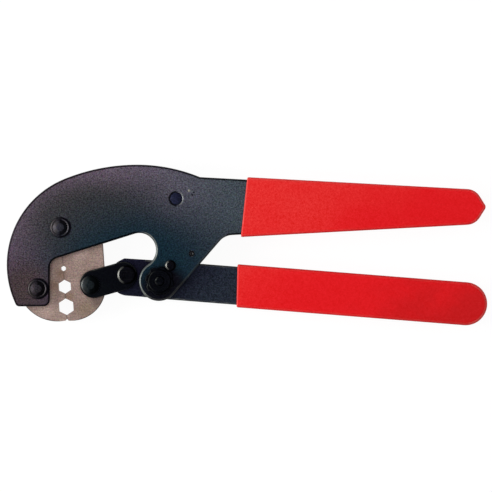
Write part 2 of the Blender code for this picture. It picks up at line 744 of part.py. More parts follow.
add_prism(mouth_trim, mouth_outline, -2 * REST_FACE, 2 * REST_FACE)
cut(upper_grip, "upper mouth", mouth_trim)
fit_start = MOUTH - NECK_SETBACK
fit_half, fit_ends = tang_corners(fit_start, GRIP_FIT)
cavity_outline = rounded(
    [(fit_start, UPPER_AXIS + fit_half, 0.0)] + fit_ends
    + [(fit_start, UPPER_AXIS - fit_half, 0.0)]
)
cavity = bmesh.new()
add_prism(cavity, cavity_outline, -CHEEK_OUTER - GRIP_FIT, CHEEK_OUTER + GRIP_FIT)
cut(upper_grip, "upper cavity", cavity)

# Lower handle bar, narrower at its nose, which is milled to the thickness of the dies
shoulder = LINK_HALF + SHOULDER_GAP - TOGGLE_ARM
bar_outline = arc((BAR_LENGTH - BAR_HALF, 0.0), BAR_HALF, -pi / 2, pi / 2)
nose_corner = -NOSE_REACH - NOSE_HALF * tan(NOSE_CORNER / 2)
bar_outline += [Vector((0.0, BAR_HALF)), Vector((nose_corner, NOSE_HALF))]
bar_outline += arc((-NOSE_REACH, 0.0), NOSE_HALF, pi / 2 + NOSE_CORNER, 1.5 * pi)
bar_outline += [Vector((shoulder, -NOSE_HALF)), Vector((0.0, -BAR_HALF))]
bar_outline = [p + Vector((0.0, BAR_OFFSET)) for p in bar_outline]
bar = plate(
    "lower_handle_bar", bar_outline, -BAR_FACE, BAR_FACE, handle_frame, black_steel, BAR_EDGE,
)
milled = bmesh.new()
for low, high in ((DIE_FACE, CHEEK_INNER), (-CHEEK_INNER, -DIE_FACE)):
    add_block(milled, (-3 * NOSE_REACH, -BAR_WIDTH, low), (shoulder, BAR_WIDTH, high))
cut(bar, "milled nose", milled)
bar_drills = bmesh.new()
toggle_in_bar = (-TOGGLE_ARM, TOGGLE_RISE)
add_drill(bar_drills, (0.0, 0.0), PIVOT_RADIUS + PIN_GAP, -CHEEK_INNER, CHEEK_INNER)
add_drill(bar_drills, toggle_in_bar, PIN_RADIUS + PIN_GAP, -CHEEK_INNER, CHEEK_INNER)
cut(bar, "bar drills", bar_drills)

# Lower grip
lower_face = BAR_FACE + GRIP_STANDOFF
lower_half = BAR_HALF + GRIP_STANDOFF
round_centre = BAR_LENGTH - BAR_HALF
sleeve_start = LOWER_MOUTH - 2 * GRIP_EDGE
sleeve_outline = arc((round_centre, 0.0), lower_half, -pi / 2, pi / 2)
sleeve_outline.append(Vector((sleeve_start, lower_half)))
sleeve_outline.append(Vector((sleeve_start, -lower_half)))
sleeve_outline = [p + Vector((0.0, BAR_OFFSET)) for p in sleeve_outline]
lower_grip = plate(
    "lower_grip", sleeve_outline, -lower_face, lower_face, handle_frame, red_vinyl,
    GRIP_EDGE, GRIP_STEPS,
)
lower_left = sleeve_start - GRIP_EDGE
lower_mouth_outline = [
    Vector((lower_left, -2 * lower_half)),
    Vector((LOWER_MOUTH + LOWER_MOUTH_SLANT, -2 * lower_half)),
    Vector((LOWER_MOUTH - LOWER_MOUTH_SLANT, 2 * lower_half)),
    Vector((lower_left, 2 * lower_half)),
]
lower_trim = bmesh.new()
add_prism(lower_trim, lower_mouth_outline, -2 * lower_face, 2 * lower_face)
cut(lower_grip, "lower mouth", lower_trim)
bar_cavity_outline = capsule(0.0, round_centre, BAR_HALF + GRIP_FIT)
bar_cavity_outline = [p + Vector((0.0, BAR_OFFSET)) for p in bar_cavity_outline]
bar_cavity = bmesh.new()
add_prism(bar_cavity, bar_cavity_outline, -BAR_FACE - GRIP_FIT, BAR_FACE + GRIP_FIT)
cut(lower_grip, "lower cavity", bar_cavity)

# Toggle link: two plates on either side of the jaw and the nose of the bar
link_outline = capsule(LINK_END_INSET, link_length - LINK_END_INSET, LINK_HALF)
for name, low, high in (
    ("front_link", LINK_FACE, LINK_OUTER), ("rear_link", -LINK_OUTER, -LINK_FACE),
):
    link = plate(name, link_outline, low, high, link_frame, black_steel, LINK_EDGE)
    link_drills = bmesh.new()
    add_drill(link_drills, (0.0, 0.0), PIN_RADIUS + PIN_GAP, low - SIDE_GAP, high + SIDE_GAP)
    add_drill(
        link_drills, (link_length, 0.0), PIN_RADIUS + PIN_GAP + LINK_PLAY,
        low - SIDE_GAP, high + SIDE_GAP,
    )
    cut(link, name + " drills", link_drills)

pin_low = LINK_OUTER + PIN_GAP
pin_high = pin_low + PIN_HEAD_HEIGHT
pin_shape = domed_profile(
    PIN_RADIUS, PIN_HEAD, PIN_HEAD - RIVET_FLANGE_HEIGHT, -pin_low, pin_low,
    PIN_HEAD_HEIGHT, PIN_HEAD, -pin_high,
)
turned("link_pin", pin_shape, (0.0, 0.0), link_frame, pin_steel)
turned("toggle_pin", pin_shape, toggle_in_bar, handle_frame, pin_steel)

bpy.context.view_layer.update()
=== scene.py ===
"""Hand crimping tool: blacked plate frame, bare die steel jaws and red dipped grips.

Outlines and profiles are in millimetres. Each piece is drawn about its own pivot or axis,
with the middle plane of the tool at height 0, and is then stood in its place in the frame.
"""

import json
from math import acos, atan2, ceil, cos, degrees, hypot, pi, radians, sin, sqrt, tan

import bmesh
import bpy
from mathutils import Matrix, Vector


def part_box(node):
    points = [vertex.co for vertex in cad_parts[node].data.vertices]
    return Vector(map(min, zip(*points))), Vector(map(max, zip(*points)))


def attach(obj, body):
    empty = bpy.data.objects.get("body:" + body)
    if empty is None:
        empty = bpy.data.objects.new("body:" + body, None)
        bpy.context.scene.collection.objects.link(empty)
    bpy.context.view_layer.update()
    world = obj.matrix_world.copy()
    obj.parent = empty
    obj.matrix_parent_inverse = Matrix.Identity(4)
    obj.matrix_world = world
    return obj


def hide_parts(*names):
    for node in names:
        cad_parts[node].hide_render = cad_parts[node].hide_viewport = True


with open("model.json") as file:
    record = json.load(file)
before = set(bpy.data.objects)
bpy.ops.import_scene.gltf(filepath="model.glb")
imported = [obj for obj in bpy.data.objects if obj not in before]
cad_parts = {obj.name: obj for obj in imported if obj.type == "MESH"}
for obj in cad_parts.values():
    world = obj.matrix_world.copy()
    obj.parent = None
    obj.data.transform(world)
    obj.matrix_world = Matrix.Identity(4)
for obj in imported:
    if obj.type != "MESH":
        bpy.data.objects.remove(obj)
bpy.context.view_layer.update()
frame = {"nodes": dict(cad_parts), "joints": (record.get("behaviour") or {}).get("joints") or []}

# Units and fineness of the meshes
MM = 0.001
CHORD_ERROR = 0.006
TOUCH = 0.002 * MM
SLIVER = 4 * TOUCH
SMOOTH_ANGLE = radians(40)
LATHE_STEPS = 72

# Heights above and below the middle plane
DIE_FACE = 3.0
TONGUE_FACE = 1.1
FORK_FACE = 1.4
LINK_INNER, LINK_OUTER = 3.3, 5.2
PIN_SEAT = 5.3
CHEEK_INNER, CHEEK_OUTER = 5.5, 8.0
FLUSH_FACE = 7.6
HEAD_SEAT, REAR_HEAD_FACE = 8.1, 9.08
BAR_FACE = 4.0
WASHER_INNER = 4.3
REST_FACE = 9.1
LOWER_GRIP_FACE = 5.1
WHEEL_LOW, WHEEL_HIGH = 8.3, 9.7

# Radii of the rivets, pins and journals, and of the holes that they pass through
RIVET_SHANK, RIVET_HOLE = 2.6, 2.7
PIN_SHANK, PIN_HEAD, PIN_HOLE, LOOSE_PIN_HOLE = 2.5, 4.2, 2.6, 3.3
FRAME_RIVET, FRAME_RIVET_HOLE = 2.8, 2.83
STOP_PIN, STOP_PIN_HOLE = 1.35, 1.37
LOCK_SHANK, LOCK_HOLE = 1.4, 1.5
TANG_RIVET_HOLE = 2.3
FRONT_JOURNAL, FRONT_JOURNAL_HOLE = 3.2, 3.3
REAR_JOURNAL, REAR_JOURNAL_HOLE = 4.4, 4.5
LOBE, LOBE_BORE = 3.8, 3.9
STUB, STUB_HOLE = 2.1, 2.2

# Middle lines of the handles, measured from the handle pivot
UPPER_AXIS = 33.0
BAR_AXIS = 0.6

# Pivots and axes of the tool, in its frame
joints = {joint["name"]: joint for joint in frame["joints"]}
handle_pivot = Vector(joints["handle_hinge"]["pos_m"])
jaw_pivot = Vector(joints["jaw_hinge"]["pos_m"])
link_pin = Vector(joints["link_hinge"]["pos_m"])


def axis_of(node):
    """The upright axis of a turned solid, at the height of the middle plane."""
    low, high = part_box(node)
    return Vector(((low[0] + high[0]) / 2, (low[1] + high[1]) / 2, handle_pivot.z))


toggle_pin = axis_of("toggle_pin")
die_rivet = axis_of("die_rivet")
frame_rivet = axis_of("frame_rivet")
stop_pin = axis_of("stop_pin")
wheel_axis = axis_of("adjuster_wheel")
lock_screw = axis_of("lock_screw")
tang_rivets = [axis_of("tang_rivet_inner"), axis_of("tang_rivet_outer")]

DIE_TILT = radians(4.0)
HANDLE_TILT = radians(-4.5)
link_span = toggle_pin - link_pin
link_tilt = atan2(link_span.y, link_span.x)
link_length = hypot(link_span.x, link_span.y) / MM
throat = Vector((-0.052, -0.006, handle_pivot.z))


def hole_at(place, radius, pivot=handle_pivot, tilt=0.0):
    """A hole at a place in the tool, along and across a piece drawn about a pivot."""
    away = (place - pivot) / MM
    return (away.x * cos(tilt) + away.y * sin(tilt),
            away.y * cos(tilt) - away.x * sin(tilt), radius)


# Bench work

def clear_bench():
    """Closes the open piece and leaves nothing selected."""
    if bpy.context.object and bpy.context.object.mode == "EDIT":
        bpy.ops.object.mode_set(mode="OBJECT")
    bpy.ops.object.select_all(action="DESELECT")


def fresh(operator, **settings):
    """A new object made by an operator."""
    clear_bench()
    operator(**settings)
    return bpy.context.object


def take_up(piece):
    """Selects one piece alone."""
    clear_bench()
    piece.select_set(True)
    bpy.context.view_layer.objects.active = piece


def open_piece(piece):
    """Opens a piece for editing."""
    take_up(piece)
    bpy.ops.object.mode_set(mode="EDIT")


def pick_all():
    """Selects all of the open piece."""
    bpy.ops.mesh.select_all(action="SELECT")


def pick(piece, kind, test):
    """Selects the edges or the faces of the open piece that pass a test."""
    bpy.ops.mesh.select_mode(type=kind)
    bpy.ops.mesh.select_all(action="DESELECT")
    cage = bmesh.from_edit_mesh(piece.data)
    for part in cage.edges if kind == "EDGE" else cage.faces:
        if test(part):
            part.select_set(True)
    bmesh.update_edit_mesh(piece.data)


def pick_faces(piece, test):
    """Selects the faces of the open piece whose middle and normal pass a test."""
    pick(piece, "FACE", lambda face: test(face.calc_center_median(), face.normal))


def mark_rim_wear_and_light(piece, rubbed=lambda middle: 1.0):
    """Notes how far the selected sloping faces are rubbed, from 1, bare with a painted highlight, to
    -1, painted dark shade.
    """
    upright, level = 0.02, 0.99
    cage = bmesh.from_edit_mesh(piece.data)
    rim = cage.faces.layers.float.get("rim") or cage.faces.layers.float.new("rim")
    for face in cage.faces:
        if face.select and upright < abs(face.normal.z) < level:
            face[rim] = rubbed(face.calc_center_median())
    bmesh.update_edit_mesh(piece.data)


def worn_lit_side_and_shade(side, share, x=0.0, y=0.0):
    """Rubbing of a round rim: bare with a painted highlight on one side, 1 or -1 along x, or on
    both, 0; painted dark shade across.
    """
    turning, turned = 0.3, 0.7

    def rubbed(middle):
        along, up = middle.x - x * MM, middle.y - y * MM
        facing = (side * along if side else abs(along)) / hypot(along, up)
        if facing > turning:
            return share * min(1.0, (facing - turning) / (turned - turning))
        return -min(1.0, (turning - facing) / turning)
    return rubbed


def trace(name, outline, upright=False):
    """Draws a line of points and arcs, an arc being a centre, a radius and two angles."""
    piece = fresh(bpy.ops.mesh.primitive_plane_add, size=MM)
    piece.name = piece.data.name = name
    bpy.ops.object.mode_set(mode="EDIT")
    bpy.ops.mesh.select_mode(type="VERT")
    pick_all()
    bpy.ops.mesh.merge(type="CENTER")

    def place(x, y):
        return Vector((x, 0.0, y)) * MM if upright else Vector((x, y, 0.0)) * MM

    def on_arc(x, y, radius, angle):
        return place(x + radius * cos(radians(angle)), y + radius * sin(radians(angle)))

    pen = None
    for mark in outline:
        is_arc = len(mark) == 5
        start = on_arc(*mark[:4]) if is_arc else place(*mark)
        if pen is None:
            bpy.ops.transform.translate(value=start)
        elif (start - pen).length > TOUCH:
            bpy.ops.mesh.extrude_vertices_move(TRANSFORM_OT_translate={"value": start - pen})
        pen = start
        if is_arc:
            x, y, radius, begin, end = mark
            sweep = radians(end - begin)
            finest = 2 * acos(1 - min(0.5, CHORD_ERROR / radius))
            bpy.ops.mesh.spin(
                steps=max(3, ceil(abs(sweep) / finest)), angle=sweep, center=place(x, y),
                axis=(0, 1, 0) if upright else (0, 0, -1),
            )
            pen = on_arc(x, y, radius, end)
    return piece


def close_skin():
    """Joins the seams of the open piece and points its faces outwards."""
    pick_all()
    bpy.ops.mesh.remove_doubles(threshold=TOUCH)
    bpy.ops.mesh.normals_make_consistent(inside=False)


def saw_plate(name, outline, low, high):
    """A plate sawn along an outline, left open for editing."""
    piece = trace(name, outline)
    pick_all()
    bpy.ops.mesh.remove_doubles(threshold=TOUCH)
    bpy.ops.mesh.edge_face_add()
    bpy.ops.transform.translate(value=(0, 0, low * MM))
    rise = (0, 0, (high - low) * MM)
    bpy.ops.mesh.extrude_region_move(TRANSFORM_OT_translate={"value": rise})
    close_skin()
    return piece


def ease_rims(piece, heights, width, steps, spare=0.0, rubbed=lambda middle: 1.0):
    """Rounds the edges of the open piece at some heights, but none nearer the middle."""
    def on_rim(edge):
        a, b = (end.co for end in edge.verts)
        return abs(a.x + b.x) / 2 >= spare * MM and any(
            abs(a.z - z * MM) < TOUCH and abs(b.z - z * MM) < TOUCH for z in heights)

    pick(piece, "EDGE", on_rim)
    bpy.ops.mesh.bevel(offset=width * MM, segments=steps, affect="EDGES", clamp_overlap=False)
    mark_rim_wear_and_light(piece, rubbed)


def combine(piece, other, operation):
    """Cuts a piece by another body or welds it on, and uses the other body up."""
    take_up(piece)
    meeting = piece.modifiers.new("meeting", "BOOLEAN")
    meeting.operation = operation
    meeting.solver = "EXACT"
    meeting.object = other
    bpy.ops.object.modifier_apply(modifier=meeting.name)
    bpy.data.objects.remove(other)


def cut_away(piece, cutter):
    """Cuts a piece by another body."""
    combine(piece, cutter, "DIFFERENCE")


def round_stock(x, y, radius, low, high):
    """A plain round bar between two heights, to cut with or to weld on."""
    return fresh(
        bpy.ops.mesh.primitive_cylinder_add, vertices=LATHE_STEPS, radius=radius * MM,
        depth=(high - low) * MM, location=(x * MM, y * MM, (low + high) / 2 * MM),
    )


def drill(piece, holes, low, high):
    """Drills round holes, each a place along and across and a radius."""
    bits = [round_stock(x, y, radius, low, high) for x, y, radius in holes]
    for bit in bits:
        bit.select_set(True)
    if len(bits) > 1:
        bpy.ops.object.join()
    cut_away(piece, bpy.context.object)


def countersink(piece, x, y, radius, face, width, depth, rubbed):
    """Opens the mouth of a drilled hole with a cone, wide at the outer face of the piece."""
    above, inside = 0.5, 0.1
    run = width / depth
    wide, narrow = (radius + width + above * run) * MM, (radius - inside) * MM
    tall = depth + above + inside / run
    outward = 1 if face > 0 else -1
    cone = fresh(
        bpy.ops.mesh.primitive_cone_add, vertices=LATHE_STEPS, depth=tall * MM,
        radius1=narrow if outward > 0 else wide, radius2=wide if outward > 0 else narrow,
        location=(x * MM, y * MM, (face + outward * (above - tall / 2)) * MM),
    )
    cut_away(piece, cone)
    open_piece(piece)
    pick_faces(piece, lambda middle, normal: (
        abs(middle.z - face * MM) < depth * MM and 0.1 < outward * normal.z < 0.99
        and hypot(middle.x - x * MM, middle.y - y * MM) < (radius + width) * MM))
    mark_rim_wear_and_light(piece, rubbed)


def mill(piece, low_corner, high_corner):
    """Mills away a block between two corners."""
    block = fresh(bpy.ops.mesh.primitive_cube_add, size=1.0)
    block.dimensions = [(b - a) * MM for a, b in zip(low_corner, high_corner)]
    block.location = [(a + b) / 2 * MM for a, b in zip(low_corner, high_corner)]
    cut_away(piece, block)


def both_ends(half):
    """The profile of a turned piece that is alike at both ends, from its upper half."""
    lower = []
    for mark in reversed(half):
        angles = (mark[2], -mark[4], -mark[3]) if len(mark) == 5 else ()
        lower.append((mark[0], -mark[1], *angles))
    return lower + half


def lathe(name, profile):
    """Turns a profile of radius and height on its axis, left open for editing."""
    piece = trace(name, profile, upright=True)
    pick_all()
    bpy.ops.mesh.spin(steps=LATHE_STEPS, angle=2 * pi, center=(0, 0, 0), axis=(0, 0, 1))
    close_skin()
    cage = bmesh.from_edit_mesh(piece.data)
    turned = cage.verts.layers.float.new("turned")
    for point in cage.verts:
        point[turned] = hypot(point.co.x, point.co.y) / MM
    bmesh.update_edit_mesh(piece.data)
    return piece


def another(piece, name):
    """A copy with a mesh of its own."""
    take_up(piece)
    bpy.ops.object.duplicate(linked=False)
    copy = bpy.context.object
    copy.name = copy.data.name = name
    return copy


def flip_over(piece):
    """Mirrors a piece through the middle plane."""
    open_piece(piece)
    pick_all()
    bpy.ops.transform.resize(value=(1, 1, -1), center_override=(0, 0, 0))
    close_skin()


def hand_over(piece, place, finish, node, body="frame", tilt=0.0):
    """Stands a piece at its place, evens its shading, finishes it and puts it in for its solid."""
    take_up(piece)
    piece.location = place
    piece.rotation_euler.z = tilt
    bpy.ops.object.transform_apply(location=True, rotation=True, scale=False)
    open_piece(piece)
    pick_all()
    bpy.ops.mesh.dissolve_degenerate(threshold=SLIVER)
    take_up(piece)
    bpy.ops.object.shade_smooth_by_angle(angle=SMOOTH_ANGLE)
    even = piece.modifiers.new("even shading", "WEIGHTED_NORMAL")
    even.keep_sharp = True
    bpy.ops.object.modifier_apply(modifier=even.name)
    piece.data.materials.clear()
    piece.data.materials.append(finish)
    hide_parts(node)
    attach(piece, body)


# Finishes

def feed(socket, value):
    """Links a value to a socket or sets it there; a set colour comes without its alpha."""
    if isinstance(value, bpy.types.NodeSocket):
        socket.id_data.links.new(value, socket)
    elif socket.type == "RGBA":
        socket.default_value = (*value, 1.0)
    else:
        socket.default_value = value


def put(tree, kind, settings=None, values=(), **links):
    """Adds a shader node with its settings, and its inputs in order or by socket name."""
    made = tree.nodes.new("ShaderNode" + kind)
    for name, value in (settings or {}).items():
        setattr(made, name, value)
    for socket, value in zip(made.inputs, values):
        feed(socket, value)
    for name, value in links.items():
        feed(made.inputs[name.replace("_", " ")], value)
    return made


def tree_of(*values):
    """The node tree that the sockets among some values are in."""
    return next(value.id_data for value in values if isinstance(value, bpy.types.NodeSocket))


def work_out(operation, *values):
    """A sum, product or other working on one to three values."""
    return put(tree_of(*values), "Math", {"operation": operation}, values).outputs[0]


def scaled(value, by, plus=0.0):
    """A value times another, with a third added."""
    return work_out("MULTIPLY_ADD", value, by, plus)


def work_out_vectors(operation, *values):
    """A working on two vectors."""
    return put(tree_of(*values), "VectorMath", {"operation": operation}, values).outputs


def blend(share, under, over, mode="MIX"):
    """One colour over another, by a share."""
    kind = {"data_type": "RGBA", "blend_type": mode}
    made = put(tree_of(share, under, over), "Mix", kind)
    for place, value in ((0, share), (6, under), (7, over)):
        feed(made.inputs[place], value)
    return made.outputs[2]


def times(colour, by):
    """A colour multiplied by a value or by another colour."""
    return blend(1.0, colour, by, "MULTIPLY")


def spread(value, low, high, to_low=0.0, to_high=1.0):
    """A value stretched from one range to another, and kept inside it."""
    made = put(
        tree_of(value), "MapRange", {"interpolation_type": "SMOOTHSTEP"}, Value=value,
        From_Min=low, From_Max=high, To_Min=to_low, To_Max=to_high,
    )
    return made.outputs["Result"]


def cloud(vector, scale, detail, roughness=0.55, kind="Fac"):
    """A noise pattern, as a value or as a colour."""
    return put(tree_of(vector), "TexNoise", Vector=vector, Scale=scale, Detail=detail,
               Roughness=roughness).outputs[kind]


def parts_of(vector):
    """The x, y and z of a vector."""
    return put(tree_of(vector), "SeparateXYZ", Vector=vector).outputs


def stretched(vector, turn, scale, shift=0.0):
    """Surface coordinates turned by some degrees, shifted and stretched."""
    return put(
        tree_of(vector), "Mapping", Vector=vector, Location=(shift, shift, 0.0),
        Rotation=(0.0, 0.0, radians(turn)), Scale=scale,
    ).outputs["Vector"]


def distance_from(spot, middle, flatness):
    """How far a spot is from a place on the plates, with lengths along the tool flattened."""
    away = work_out_vectors("SUBTRACT", spot, middle)["Vector"]
    part = parts_of(away)
    along = scaled(part["X"], flatness)
    upward = scaled(part["Y"], part["Y"])
    return work_out("SQRT", scaled(along, along, upward))


def effect(name, outputs, **inputs):
    """Makes the function under it an effect group, which the function fills with nodes."""
    tree = bpy.data.node_groups.new(name, "ShaderNodeTree")
    for way, sockets in (("INPUT", {"Vector": "Vector", **inputs}), ("OUTPUT", outputs)):
        for label, kind in sockets.items():
            tree.interface.new_socket(label, in_out=way, socket_type="NodeSocket" + kind)
    given = tree.nodes.new("NodeGroupInput").outputs
    out = tree.nodes.new("NodeGroupOutput").inputs

    def filled(fill):
        fill(given, given["Vector"], out)
        return tree
    return filled


def use(group, spot, **links):
    """Uses an effect group in a material, over the coordinates of its surface."""
    return put(tree_of(spot), "Group", {"node_tree": group}, Vector=spot, **links).outputs


@effect("fine grain", {"Grain": "Float", "Mottle": "Color"}, Scale="Float", Cast="Float")
def fine_grain(given, spot, out):
    """Close speckle of a tumbled, blacked or moulded surface."""
    coarse = cloud(spot, given["Scale"], 2.0)
    finer = cloud(spot, scaled(given["Scale"], 2.7), 1.0)
    feed(out["Grain"], scaled(work_out("ADD", coarse, finer), 0.5))
    casts = cloud(spot, scaled(given["Scale"], 1.3), 1.0, 0.5, "Color")
    mottle = blend(given["Cast"], (0.5, 0.5, 0.5), casts)
    feed(out["Mottle"], times(mottle, (2.0, 2.0, 2.0)))


@effect(
    "rim wear light and shade", {"Mask": "Float", "Painted Shade": "Float"}, Scale="Float", Spared="Float", Even="Float")
def rim_wear_light_and_shade(given, spot, out):
    """Rubbed patches along the rims, brighter as painted highlights, and the rims painted dark as
    shade.
    """
    rim = put(tree_of(spot), "Attribute", {"attribute_name": "rim"}).outputs["Fac"]
    patches = cloud(spot, given["Scale"], 4.0, 0.65)
    upper = work_out("ADD", given["Spared"], 0.16)
    rubbed = spread(patches, given["Spared"], upper, given["Even"])
    bare = work_out("MAXIMUM", rim, 0.0)
    feed(out["Mask"], scaled(bare, rubbed))
    feed(out["Painted Shade"], work_out("MAXIMUM", scaled(rim, -1.0), 0.0))


@effect("hand smudges", {"Smudge": "Float"}, Scale="Float")
def hand_smudges(given, spot, out):
    """Soft blotches that hands and oil leave."""
    blotch = cloud(spot, given["Scale"], 5.0, 0.6)
    feed(out["Smudge"], spread(blotch, 0.32, 0.68))


@effect("hairlines", {"Line": "Float"}, Scale="Float", Spared="Float")
def hairlines(given, spot, out):
    """Fine scratches along two directions."""
    lines = []
    for angle, seed in ((24.0, 0.0), (-52.0, 3.7)):
        streaks = stretched(spot, angle, (1.0, 34.0, 1.0), seed)
        streak = cloud(streaks, given["Scale"], 2.0, 0.5)
        upper = work_out("ADD", given["Spared"], 0.05)
        lines.append(spread(streak, given["Spared"], upper))
    feed(out["Line"], work_out("MAXIMUM", *lines))


@effect("turning marks", {"Ring": "Float"}, Pitch="Float")
def turning_marks(given, spot, out):
    """Rings that the lathe leaves, by the distance from the axis of the piece."""
    reach = put(tree_of(spot), "Attribute", {"attribute_name": "turned"}).outputs["Fac"]
    waver = scaled(cloud(spot, 300.0, 2.0), 0.25)
    turns = work_out("DIVIDE", work_out("ADD", reach, waver), given["Pitch"])
    wave = work_out("SINE", scaled(turns, 2 * pi))
    feed(out["Ring"], scaled(wave, 0.5, 0.5))


@effect(
    "blacking tint and shade", {"Color": "Color"},
    Middle="Vector", Reach="Float", Near="Color", Head="Color", Tail="Color")
def blacking_tint_and_shade(given, spot, out):
    """Uneven colour of blacking: one tone about a place, another towards either end, and painted
    shade, darker towards the bottom.
    """
    head_end, tail_start = -85 * MM, -20 * MM
    low_edge, high_edge = -30 * MM, 30 * MM
    distance = distance_from(spot, given["Middle"], 0.6)
    drift = scaled(cloud(spot, 40.0, 4.0, 0.6), 0.4, -0.2)
    share = work_out("DIVIDE", distance, given["Reach"])
    share = spread(work_out("ADD", share, drift), 0.2, 1.0)
    place = parts_of(spot)
    towards_tail = spread(place["X"], head_end, tail_start)
    far = blend(towards_tail, given["Head"], given["Tail"])
    colour = blend(share, given["Near"], far)
    # Painted shade: darker towards the bottom, lighter towards the top
    painted_shade_by_height = spread(place["Y"], low_edge, high_edge, 0.66, 1.06)
    feed(out["Color"], times(colour, painted_shade_by_height))


@effect(
    "stain_light_and_shade", {"Color": "Color"}, Color="Color", Middle="Vector",
    Flatness="Float", Full="Float", Reach="Float", Tone="Color")
def stain_light_and_shade(given, spot, out):
    """A patch of one tone about a place, that fades into the colour round it; used for stains and
    for painted light and shade.
    """
    distance = distance_from(spot, given["Middle"], given["Flatness"])
    drift = scaled(cloud(spot, 45.0, 4.0, 0.6), 0.3, 0.85)
    share = spread(scaled(distance, drift), given["Full"], given["Reach"])
    feed(out["Color"], blend(share, given["Tone"], given["Color"]))


def blank_finish(name, metallic):
    """A new finish, with its shader and its surface coordinates."""
    finish = bpy.data.materials.new(name)
    finish.use_nodes = True
    tree = finish.node_tree
    shader = tree.nodes["Principled BSDF"]
    shader.inputs["Metallic"].default_value = metallic
    return finish, shader, put(tree, "TexCoord").outputs["Object"]


def dress(shader, colour, gloss, height, strength, depth):
    """Gives a shader its colour, its roughness and its relief."""
    relief = put(tree_of(height), "Bump", Height=height, Strength=strength, Distance=depth * MM)
    for name, value in (("Base Color", colour), ("Roughness", gloss),
                        ("Normal", relief.outputs["Normal"])):
        feed(shader.inputs[name], value)


def throat_tint_and_shade(near, head, tail):
    """The tint of a small piece: one tone by the throat, a painted shade there on the bar, the links
    and the toggle pin, which sit recessed under the cheeks, and one towards either end.
    """
    def tint(spot):
        return use(
            blacking_tint_and_shade, spot, Middle=throat, Reach=38 * MM, Near=near, Head=head, Tail=tail,
        )["Color"]
    return tint


def spread_stains_light_and_shade(spot, colour, stains):
    """Stains, painted light and painted shade over a colour, each a place, a flatness, a full and a
    fading radius and a tone.
    """
    for x, y, flatness, full, reach, tone in stains:
        colour = use(
            stain_light_and_shade, spot, Color=colour, Middle=(x * MM, y * MM, 0.0),
            Flatness=flatness, Full=full * MM, Reach=reach * MM, Tone=tone,
        )["Color"]
    return colour


def rivet_shadow_ring(rivet):
    """A painted shadow ring that a head rivet casts on the cheek round it, set a little to the right
    and down.
    """
    return rivet.x / MM + 0.2, rivet.y / MM - 0.1, 1.0, 4.5, 5.1, (0.004, 0.003, 0.008)


# Painted reflection and shade over the cheeks, darker about the middle of the head and the throat,
# then a dark patch round the foot by the wheel, the beak, three specks by the frame rivet and the
# painted shadow rings round the head rivets
PLATE_STAINS_AND_SHADES = [
    (-69.7, 10.0, 0.631, 10.5, 33.2, (0.0425, 0.0405, 0.0439)),
    (-48.7, -8.7, 0.670, 10.0, 41.0, (0.0080, 0.0225, 0.0350)),
    (-36.8, -19.3, 1.0, 7.0, 13.5, (0.0050, 0.0050, 0.0085)),
    (-99.3, -18.8, 1.0, 3.0, 16.0, (0.058, 0.041, 0.044)),
    (-25.9, 24.2, 1.0, 0.3, 0.8, (0.26, 0.26, 0.24)),
    (-23.7, 23.4, 1.0, 0.2, 0.6, (0.010, 0.008, 0.016)),
    (-24.3, 22.3, 1.0, 0.2, 0.6, (0.010, 0.008, 0.016)),
    rivet_shadow_ring(jaw_pivot), rivet_shadow_ring(die_rivet),
]

# Oil by the link, a lighter patch below the beak, painted light under the lip where the cheek shades
# the die, and brown spots round the cavities
DIE_STAINS_AND_LIGHT = [
    (-67.0, -24.7, 1.0, 0.5, 6.5, (0.155, 0.112, 0.097)),
    (-90.0, -28.0, 1.0, 1.0, 7.5, (0.40, 0.29, 0.255)),
    # Painted light: lifts the shade that the lip casts on the die
    (-75.0, -2.5, 1.0, 1.5, 7.0, (0.40, 0.29, 0.262)),
    (-72.2, -28.4, 1.0, 1.0, 6.0, (0.245, 0.176, 0.135)),
    (-82.9, -12.8, 1.0, 0.5, 4.0, (0.235, 0.150, 0.118)),
    (-85.9, -18.0, 1.0, 0.5, 4.0, (0.235, 0.150, 0.118)),
    (-79.3, -22.9, 1.0, 0.3, 3.0, (0.240, 0.160, 0.118)),
]


def plate_tint(spot):
    """The tint of the cheeks: brown at the head and blue to the tang, in part a painted reflection,
    with painted shade at the throat and towards the foot.
    """
    head_end, tang_start = -96.8 * MM, 4.2 * MM
    foot, crown = -20.3 * MM, 16.0 * MM
    place = parts_of(spot)
    towards_tang = spread(place["X"], head_end, tang_start)
    colour = blend(towards_tang, (0.190, 0.129, 0.190), (0.055, 0.071, 0.086))
    # Painted shade: darker towards the foot, lighter towards the crown
    colour = times(colour, spread(place["Y"], foot, crown, 0.30, 1.0))
    return spread_stains_light_and_shade(spot, colour, PLATE_STAINS_AND_SHADES)


